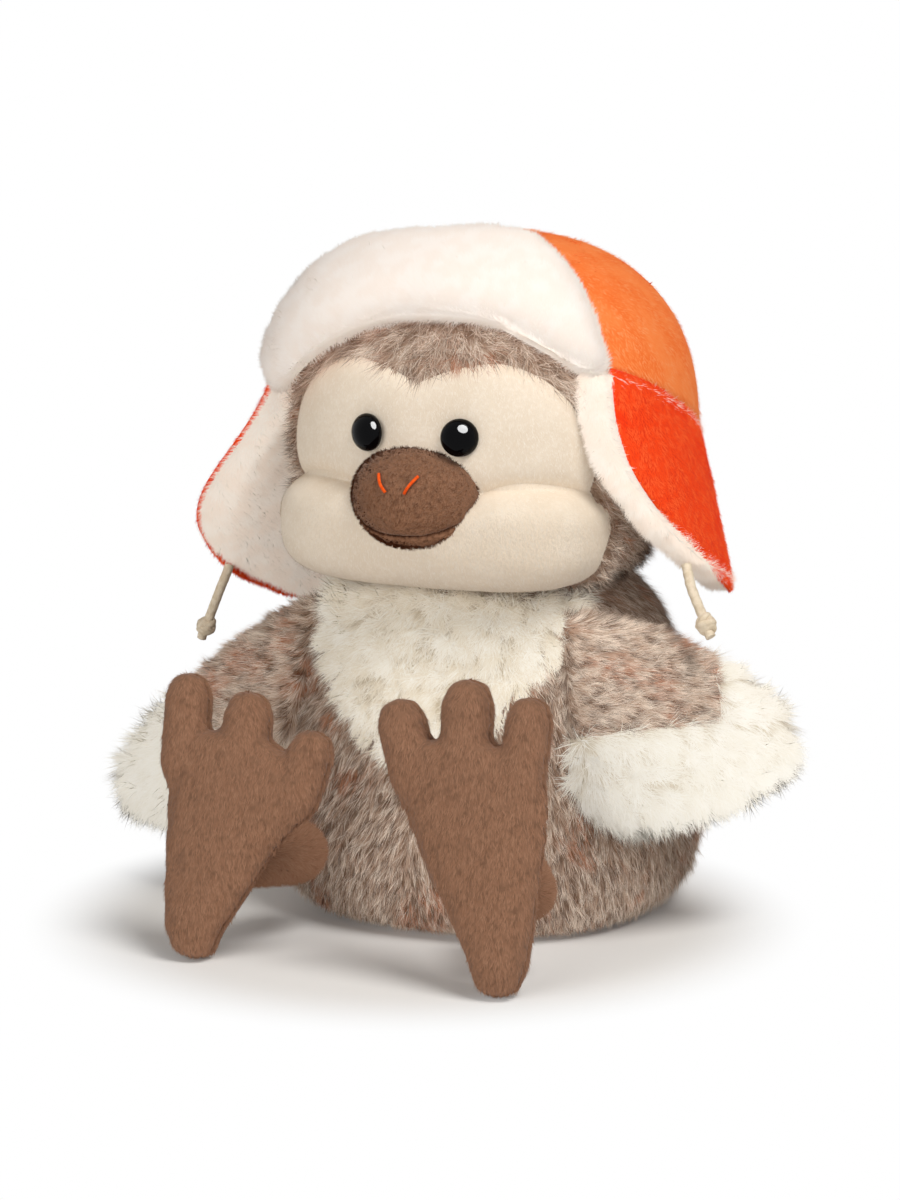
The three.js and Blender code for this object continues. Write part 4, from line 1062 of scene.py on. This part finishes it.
# %% Fur tree
def make_fur_tree():
    tree = bpy.data.node_groups.new("fur strands", "GeometryNodeTree")
    numbers = ("Density", "Length", "Variation", "Width", "Lean", "Tuft size", "Tuft pull", "Ruffle")
    kinds = {"Geometry": "Geometry", "Strand": "Object", "Cloth": "Material"}
    kinds |= {**dict.fromkeys(numbers, "Float"), "Seed": "Int"}
    sockets = {
        name: tree.interface.new_socket(name, in_out="INPUT", socket_type=f"NodeSocket{kind}")
        for name, kind in kinds.items()}
    tree.interface.new_socket("Geometry", in_out="OUTPUT", socket_type="NodeSocketGeometry")
    group = tree.nodes.new("NodeGroupInput")
    wire = {name: Wire(tree, group.outputs[name]) for name in kinds}

    def carried(name, kind="FLOAT"):
        return add(tree, "GeometryNodeInputNamedAttribute", "Attribute", {"data_type": kind}, Name=name)

    def draw(step, output=1, kind="FLOAT", **limits):
        seed = wire["Seed"] + step
        return add(tree, "FunctionNodeRandomValue", output, {"data_type": kind}, Seed=seed, **limits)

    scatter = tree.nodes.new("GeometryNodeDistributePointsOnFaces")
    for name, value in (
            ("Mesh", wire["Geometry"]), ("Density", wire["Density"] * carried("grow")), ("Seed", wire["Seed"])):
        put(tree, scatter.inputs[name], value)
    points, normal = (Wire(tree, scatter.outputs[name]) for name in ("Points", "Normal"))

    place = add(tree, "GeometryNodeInputPosition", 0)
    for name, kind, value in (
            ("shade", "FLOAT", draw(1)), ("root", "FLOAT_VECTOR", place), ("up", "FLOAT_VECTOR", normal)):
        points = add(tree, "GeometryNodeStoreNamedAttribute", 0, {"data_type": kind, "domain": "POINT"},
                     Geometry=points, Name=name, Value=value)

    cells = add(tree, "ShaderNodeTexVoronoi", "Position", Vector=place, Scale=1 / wire["Tuft size"])
    pull = (cells - place) / wire["Tuft size"] * wire["Tuft pull"]
    waves = add(tree, "ShaderNodeTexNoise", 1, Vector=place, Scale=0.35 / wire["Tuft size"])
    jitter = draw(2, 0, "FLOAT_VECTOR", Min=(-1, -1, -1), Max=(1, 1, 1))
    bent = normal * (1 - wire["Lean"]) + carried("comb", "FLOAT_VECTOR") * wire["Lean"] + pull
    ruffled = bent + (waves - (0.5, 0.5, 0.5)) * wire["Ruffle"] * 1.6 + jitter * wire["Ruffle"] * 0.35
    turn = add(tree, "FunctionNodeAxesToRotation", 0, {"primary_axis": "Z", "secondary_axis": "Y"},
               Primary_Axis=ruffled.unit(), Secondary_Axis=normal * -1.0)

    length = wire["Length"] * carried("tall") * (1 - wire["Variation"] * draw(3))
    size = add(tree, "ShaderNodeCombineXYZ", 0, X=wire["Width"], Y=length, Z=length)
    strand = add(tree, "GeometryNodeObjectInfo", "Geometry", Object=wire["Strand"])
    copies = add(tree, "GeometryNodeInstanceOnPoints", 0, Points=points, Instance=strand, Rotation=turn, Scale=size)
    real = add(tree, "GeometryNodeRealizeInstances", 0, Geometry=copies)
    dressed = add(tree, "GeometryNodeSetMaterial", 0, Geometry=real, Material=wire["Cloth"])
    put(tree, tree.nodes.new("NodeGroupOutput").inputs[0], dressed)
    return tree, {name: socket.identifier for name, socket in sockets.items()}


STRAND = {
    "bent_strand": [(-0.5, 0, 0), (0.5, 0, 0), (0.42, 0.07, 0.5), (-0.42, 0.07, 0.5), (0, 0.26, 1.0)],
    "blade_strand": [(-0.5, 0, 0), (0.5, 0, 0), (0, 0.2, 1.0)],
}


def make_strand(name, faces):
    """A strand of unit length and width, with t running from 0 at its root to 1 at its tip."""
    mesh = bpy.data.meshes.new(name)
    mesh.from_pydata(STRAND[name], [], faces)
    mesh.shade_smooth()
    mesh.attributes.new("t", "FLOAT", "POINT").data.foreach_set("value", [z for _, _, z in STRAND[name]])
    strand = in_scene(name, mesh)
    strand.hide_render = True
    return strand


fur_tree, FUR_INPUT = make_fur_tree()
BENT = make_strand("bent_strand", [(0, 1, 2, 3), (3, 2, 4)])
BLADE = make_strand("blade_strand", [(0, 1, 2)])
VARIATION = 0.35  # the shortest strands are shorter than the longest by this share
GROUND, LOWEST_TIP = 1.0, 0.0002


def along_skin(normal, way):
    """A direction, or one for each point, laid flat on the surface."""
    way = np.broadcast_to(np.asarray(way, float), normal.shape)
    return unit(way - np.sum(way * normal, axis=1)[:, None] * normal)


def store_cells(mesh, shape):
    """Gives each strand its own cell of a square map, root low and tip high in it."""
    strand, corner = np.divmod(read_all(mesh.loops, "vertex_index", kind=int), len(shape))
    side = math.ceil(math.sqrt(len(mesh.vertices) // len(shape)))
    cell = np.stack([strand % side, strand // side], axis=1)
    local = np.array([(x + 0.5, z) for x, _, z in shape])[corner]
    layer = mesh.uv_layers.new(name="OFBake")
    layer.data.foreach_set("uv", ((cell + 0.15 + 0.7 * local) / side).ravel())


def shade_as_skin(mesh, softness, facing):
    """Lights the strands as the skin under them, or a little more from one side, which hides their flat faces."""
    skin, root = (read_all(mesh.attributes[name].data, "vector", 3) for name in ("up", "root"))
    if callable(facing):
        facing = facing(root / MM)
    soft = unit(softness * skin + (1 - softness) * read_all(mesh.vertex_normals, "vector", 3) + facing)
    mesh.attributes.remove(mesh.attributes["up"])
    mesh.normals_split_custom_set_from_vertices(soft.tolist())


def grow_pile(name, skin, material, strands, length, width, comb, seed, strand=BLADE, grow=True, tall=1.0,
              lean=0.5, tuft=4.0, pull=0.4, ruffle=0.5, softness=0.9, facing=(0, 0, 0)):
    """Strands all over a skin, as one mesh that goes with it. Sizes are in millimetres. grow is 0 where no
    strand stands, and tall changes the length from place to place."""
    mesh = skin.data
    points, normal = points_of(skin)
    grow, tall = (np.broadcast_to(np.asarray(v, float), len(points)).copy() for v in (grow, tall))
    grow[points[:, 2] < GROUND] = 0
    values = {"comb": along_skin(normal, comb), "grow": grow, "tall": tall}
    for key, value in values.items():
        kind, field = ("FLOAT_VECTOR", "vector") if key == "comb" else ("FLOAT", "value")
        mesh.attributes.new(key, kind, "POINT").data.foreach_set(field, np.ravel(value))
    corner = read_all(mesh.loops, "vertex_index", kind=int)
    first = read_all(mesh.polygons, "loop_start", kind=int)
    share = np.add.reduceat(grow[corner], first) / np.diff(np.append(first, len(corner)))
    area = float(np.sum(read_all(mesh.polygons, "area") * share))
    modifier = skin.modifiers.new("pile", "NODES")
    modifier.node_group = fur_tree
    settings = {
        "Strand": strand, "Cloth": FABRIC[material], "Density": strands / area, "Length": length * MM,
        "Variation": VARIATION, "Width": width * MM, "Lean": float(lean), "Tuft size": tuft * MM,
        "Tuft pull": float(pull), "Ruffle": float(ruffle), "Seed": seed}
    for key, value in settings.items():
        modifier[FUR_INPUT[key]] = value
    bpy.context.view_layer.update()
    pile = bpy.data.meshes.new_from_object(skin.evaluated_get(bpy.context.evaluated_depsgraph_get()))
    skin.modifiers.remove(modifier)
    for key in values:
        mesh.attributes.remove(mesh.attributes[key])
        if key in pile.attributes:
            pile.attributes.remove(pile.attributes[key])
    place = read_all(pile.vertices, "co", 3)
    place[:, 2] = np.maximum(place[:, 2], LOWEST_TIP)
    pile.vertices.foreach_set("co", place.ravel())
    store_cells(pile, STRAND[strand.name])
    shade_as_skin(pile, softness, facing)
    pile.name = name
    obj = in_scene(name, pile)
    obj.visible_shadow = obj.visible_diffuse = False
    obj.parent = skin
    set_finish(obj, skin["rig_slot"])


# %% [markdown]
# ## Fur on every piece
# The body's fur is 6 to 7 mm long and lies down and outwards. The bib (8.5 mm) and the wing tips (10.5 mm) are
# longer and whiter, with strands that bend half way up. The flap linings and the visor are plush of 3 to 4 mm.
# The legs, feet, flaps, crown, beak and face have a nap of one to three millimetres. Under the hat the head's
# fur is half as long. None stands behind the face panels, under the bib or where the head and the body meet.

# %% Fur
LIFT = (0.1, -0.3, 0.8)
WING_WAY = {"left": np.array([0.72, 0.69, 0.0]), "right": np.array([-0.90, 0.43, 0.0])}
TIP_FACING = {"left": (0.1, -0.6, 1.0), "right": (0.0, -1.1, 1.1)}
LINING_FACING = {"left": (0.1, -1.8, 0.9), "right": (-0.6, -2.2, 0.9)}


def turned_out(low, high, *rises):
    """A rule for strands in the shade of what hangs over them: from one facing to another with the place of
    the root. Each rise is an axis, where on it the change starts, and how long it takes."""
    def facing(root):
        share = 1
        for axis, start, length in rises:
            share = share * np.clip((root[:, axis] - start) / length, 0, 1)
        return np.asarray(low) + share[:, None] * (np.asarray(high) - low)

    return facing


def combed(sideways, down):
    """A direction for each point of a skin: its own share to the side, and the same share down for all."""
    return np.stack([sideways, np.zeros(len(sideways)), np.full(len(sideways), float(down))], axis=1)


head_points = points_of(head_skin)[0]
x, y, z = (head_points - [0, HAT_Y, HEAD_Z]).T
under_hat = z > rim_at(x, y) + 3
forehead = (y < -30) & (z > 12)
grow_pile(
    "head_pile", head_skin, "speckled_pile", 130000, 6.6, 0.22, combed(head_points[:, 0] / 40, -0.8),
    grow=~face_region(head_points, 1.0) & ~in_torso(head_points, -2),
    tall=np.where(under_hat, 0.5, np.where(forehead, 1.5, 1.0)), tuft=3.4, pull=0.6, ruffle=0.9, softness=0.6,
    facing=turned_out((0.2, -0.6, 1.0), (0.1, -2.2, 0.8), (1, -30, -10), (2, 168, 8)), seed=3)

torso_points = points_of(torso_skin)[0]
x, y, z = torso_points.T
on_bib = within(bib_outline * [0.97, 1], x, z) & (y < TORSO_Y)
grow_pile(
    "torso_pile", torso_skin, "speckled_pile", 136000, 6.0, 0.24, combed(0.25 * np.sign(x), -1),
    grow=~in_head(torso_points, -1) & ~on_bib & (z > 2), lean=0.68, tuft=2.8, pull=0.35, ruffle=0.55,
    softness=0.6, facing=turned_out(LIFT, (0.2, -1.6, 0.4), (2, 90, 12)), seed=5)
bib_points = points_of(bib_skin)[0]
grow_pile(
    "bib_pile", bib_skin, "cream_pile", 46000, 8.5, 0.26, combed(bib_points[:, 0] * 0.012 - 0.25, -1),
    strand=BENT, grow=~in_head(bib_points, -1), tall=np.clip(1 + (bib_points[:, 2] - 85) / 60, 0.9, 1.4),
    lean=0.57, tuft=5.0, pull=0.7, ruffle=1.0, softness=0.5,
    facing=turned_out((0.1, -0.6, 0.9), (0, -2.0, 0.5), (2, 86, 18)), seed=7)

for side in SIGN:
    base, tip = skins[f"wing_base_{side}"], skins[f"wing_tip_{side}"]
    grow_pile(
        f"wing_base_pile_{side}", base, "speckled_pile", 60000, 7.0, 0.22, WING_WAY[side] + [0, 0, -0.25],
        grow=~in_torso(points_of(base)[0], -1), lean=0.65, tuft=3.0, pull=0.35, ruffle=0.6, softness=0.6,
        facing=LIFT, seed=11)
    tip_points = points_of(tip)[0]
    low = np.clip((78 - tip_points[:, 2]) / 36, 0, 1)
    fringe = WING_WAY[side] * 0.8 + np.array([0, 0, -1.0]) * (0.5 + low)[:, None]
    grow_pile(
        f"wing_tip_pile_{side}", tip, "white_pile", 48000, 10.5, 0.28, fringe, strand=BENT,
        grow=~in_torso(tip_points, -1), tall=0.85 + 0.3 * low, lean=0.6, tuft=5.5, pull=0.6, ruffle=0.85,
        softness=0.6, facing=TIP_FACING[side], seed=13)
    outer, lining = flaps[side]
    grow_pile(
        f"ear_flap_pile_{side}", outer, "orange_pile", 40000, 1.8, 0.3, (0, 0, -1), lean=0.6, tuft=3, pull=0.2,
        ruffle=0.6, facing=(0, 0, 0.3), seed=17)
    hidden = points_of(lining)[1][:, 0] * SIGN[side] > 0.85
    # the lining's warm tint is painted light bounced from the orange plush
    grow_pile(
        f"ear_flap_lining_pile_{side}", lining, "lining_pile", 64000, 3.6, 0.24, (0, 0.8, -0.6), grow=~hidden,
        tuft=3, pull=0.2, ruffle=0.8, softness=0.5, facing=LINING_FACING[side], seed=19)
    grow_pile(
        f"leg_pile_{side}", skins[f"leg_{side}"], "brown_pile", 18000, 2.8, 0.26, (0, 0.5, -0.3), lean=0.35,
        tuft=2, pull=0.25, facing=(0.3, -0.8, 0.3), seed=23)
    for part in ("sole", "upper"):
        grow_pile(
            f"foot_{part}_pile_{side}", skins[f"foot_{part}_{side}"], "brown_pile", 32000, 2.2, 0.28, (0, 0, -1),
            lean=0.75, tuft=1.8, pull=0.3, softness=0.8, facing=(0, 0, 0.2), seed=29)

grow_pile("tail_pile", skins["tail"], "speckled_pile", 25000, 7.0, 0.24, (0, 1, -0.2), lean=0.6, seed=31)
grow_pile(
    "hat_visor_pile", hat_visor, "plush_pile", 122000, 3.0, 0.25, (-0.4, 0.5, 0.7), tuft=3.5, pull=0.15,
    ruffle=0.8, seed=37)
x, y, z = points_of(hat_crown)[0].T
rim_gap = z - HEAD_Z - rim_line(y) + x * math.tan(ROLL)
# the crown's pile is a paler copy of the orange: painted light from above
grow_pile(
    "hat_crown_pile", hat_crown, "crown_pile", 68000, 1.8, 0.33, (0, 0, -1), lean=0.6, tuft=3, pull=0.2,
    tall=1 + 2.0 * np.exp(-np.maximum(rim_gap, 0) / 2.5), ruffle=0.6, seed=41)
grow_pile(
    "hat_lining_pile", hat_lining, "plush_pile", 8000, 2.8, 0.3, (0, 0, -1), lean=0.4, seed=43,
    grow=points_of(hat_lining)[0][:, 2] < 215)
for part in ("upper", "lower"):
    grow_pile(
        f"beak_{part}_pile", skins[f"beak_{part}"], "beak_pile", 26000, 1.5, 0.22, (0, -1, -0.5), tuft=1.5,
        ruffle=0.6, softness=0.65, facing=(0.1, -0.4, 0.1), seed=47)
for panel, down in ((face_upper, 0), (face_muzzle, -0.3)):
    grow_pile(
        panel.name.replace("cloth", "pile"), panel, "face_pile", 30000, 1.0, 0.22, (0.3, 0, -1), lean=0.6,
        tuft=3, pull=0.15, facing=(0, 0, down), seed=53)
for strand in (BENT, BLADE):
    bpy.data.objects.remove(strand)
bpy.data.node_groups.remove(fur_tree)

# %% [markdown]
# ## Floor and light
# The toy stands on white paper in soft light. The key lamp hangs above on the right and gives the shape its
# shading. A wide lamp on the left and a weak one in front lighten the shadows, and neither shows in the
# polished eyes. The glint lamp is linked to the eyes alone. The strands, the visor and the right ear flap cast
# no shadow: packed strands would hold back much more light than real fur does, and the visor and the flap
# would darken what is under them. The paper fades into pure white away from the toy, and the space behind it
# is white too, but only for the camera: the light that reaches the toy stays soft.

# %% Stage
AIM = Vector((0, 0, 0.11))
PAPER, SOFT_LIGHT, WHITE = (0.93, 0.92, 0.905), (1.0, 0.985, 0.96, 1), (1, 1, 1, 1)
FADE_START, FADE_END = 0.085, 0.13
LAMPS = {  # place as metres to the right, near and up, then size, power and colour
    "key": ((0.45, 0.5, 1.15), 0.6, 10.1, (1.0, 0.98, 0.95)),
    "left": ((-0.8, 1.0, 0.5), 1.0, 7.0, (1.0, 0.98, 0.95)),
    "fill": ((0.6, 1.3, 0.3), 1.0, 2.2, (1.0, 0.98, 0.96)),
    "glint": ((0.3, 0.75, 0.95), 0.95, 260.0, (1, 1, 1)),
}


def make_lamp(name, place, size, power, colour):
    data = bpy.data.lights.new(name, "AREA")
    data.shape = "DISK"
    data.size, data.energy, data.color = size, power, colour
    lamp = in_scene(name, data)
    right, near, up = place
    lamp.location = tuple(right * RIGHT + near * NEAR + up * UP)
    lamp.rotation_euler = (AIM - lamp.location).to_track_quat("-Z", "Y").to_euler()
    return lamp


def sharp_rays(tree):
    """1 for what the camera sees, straight or in a mirror or through glass, and 0 for the soft light."""
    rays = tree.nodes.new("ShaderNodeLightPath")
    kinds = ("Camera", "Glossy", "Transmission")
    camera, gloss, glass = (Wire(tree, rays.outputs[f"Is {kind} Ray"]) for kind in kinds)
    return camera.join("MAXIMUM", camera, camera.join("MAXIMUM", gloss, glass))


def blend_into(tree, output, share, first, second):
    """Sends a blend of two shaders to the output, with a share of the second."""
    blend = tree.nodes.new("ShaderNodeMixShader")
    put(tree, blend.inputs[0], share)
    tree.links.new(first.outputs[0], blend.inputs[1])
    tree.links.new(second.outputs[0], blend.inputs[2])
    tree.links.new(blend.outputs[0], tree.nodes[output].inputs["Surface"])


def make_floor():
    mesh = bpy.data.meshes.new("floor")
    mesh.from_pydata([(-3, -3, 0), (3, -3, 0), (3, 3, 0), (-3, 3, 0)], [], [(0, 1, 2, 3)])
    floor = in_scene("floor", mesh)
    material, tree, shader = new_material("white_paper", MATT)
    put(tree, shader.inputs["Base Color"], PAPER)
    glow = tree.nodes.new("ShaderNodeEmission")
    glow.inputs["Color"].default_value = WHITE
    from_toy = add(tree, "ShaderNodeTexCoord", "Object") + (0.01, 0.03, 0)
    distance = from_toy.join("LENGTH", from_toy, (0, 0, 0)).socket.node.outputs["Value"]
    far = Wire(tree, distance).ramp(FADE_START, FADE_END)
    blend_into(tree, "Material Output", (far * 0.96 + 0.04) * sharp_rays(tree), shader, glow)
    mesh.materials.append(material)
    floor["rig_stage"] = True


def make_world():
    world = bpy.data.worlds.new("soft light")
    bpy.context.scene.world = world
    world.use_nodes = True
    tree = world.node_tree
    soft, white = tree.nodes["Background"], tree.nodes.new("ShaderNodeBackground")
    soft.inputs["Color"].default_value = SOFT_LIGHT
    soft.inputs["Strength"].default_value = 0.12
    white.inputs["Color"].default_value = WHITE
    blend_into(tree, "World Output", sharp_rays(tree), soft, white)


make_floor()
make_world()
lamps = {name: make_lamp(name, *row) for name, row in LAMPS.items()}
lamps["left"].visible_glossy = lamps["fill"].visible_glossy = False
lamps["glint"].visible_diffuse = False
shiny = bpy.data.collections.new("lit by the glint")
for eye in eyes.values():
    shiny.objects.link(eye)
lamps["glint"].light_linking.receiver_collection = shiny
bpy.context.scene.view_settings.view_transform = "Standard"
print("stage ready")

# %% Finish
print("box with pile", write_size())
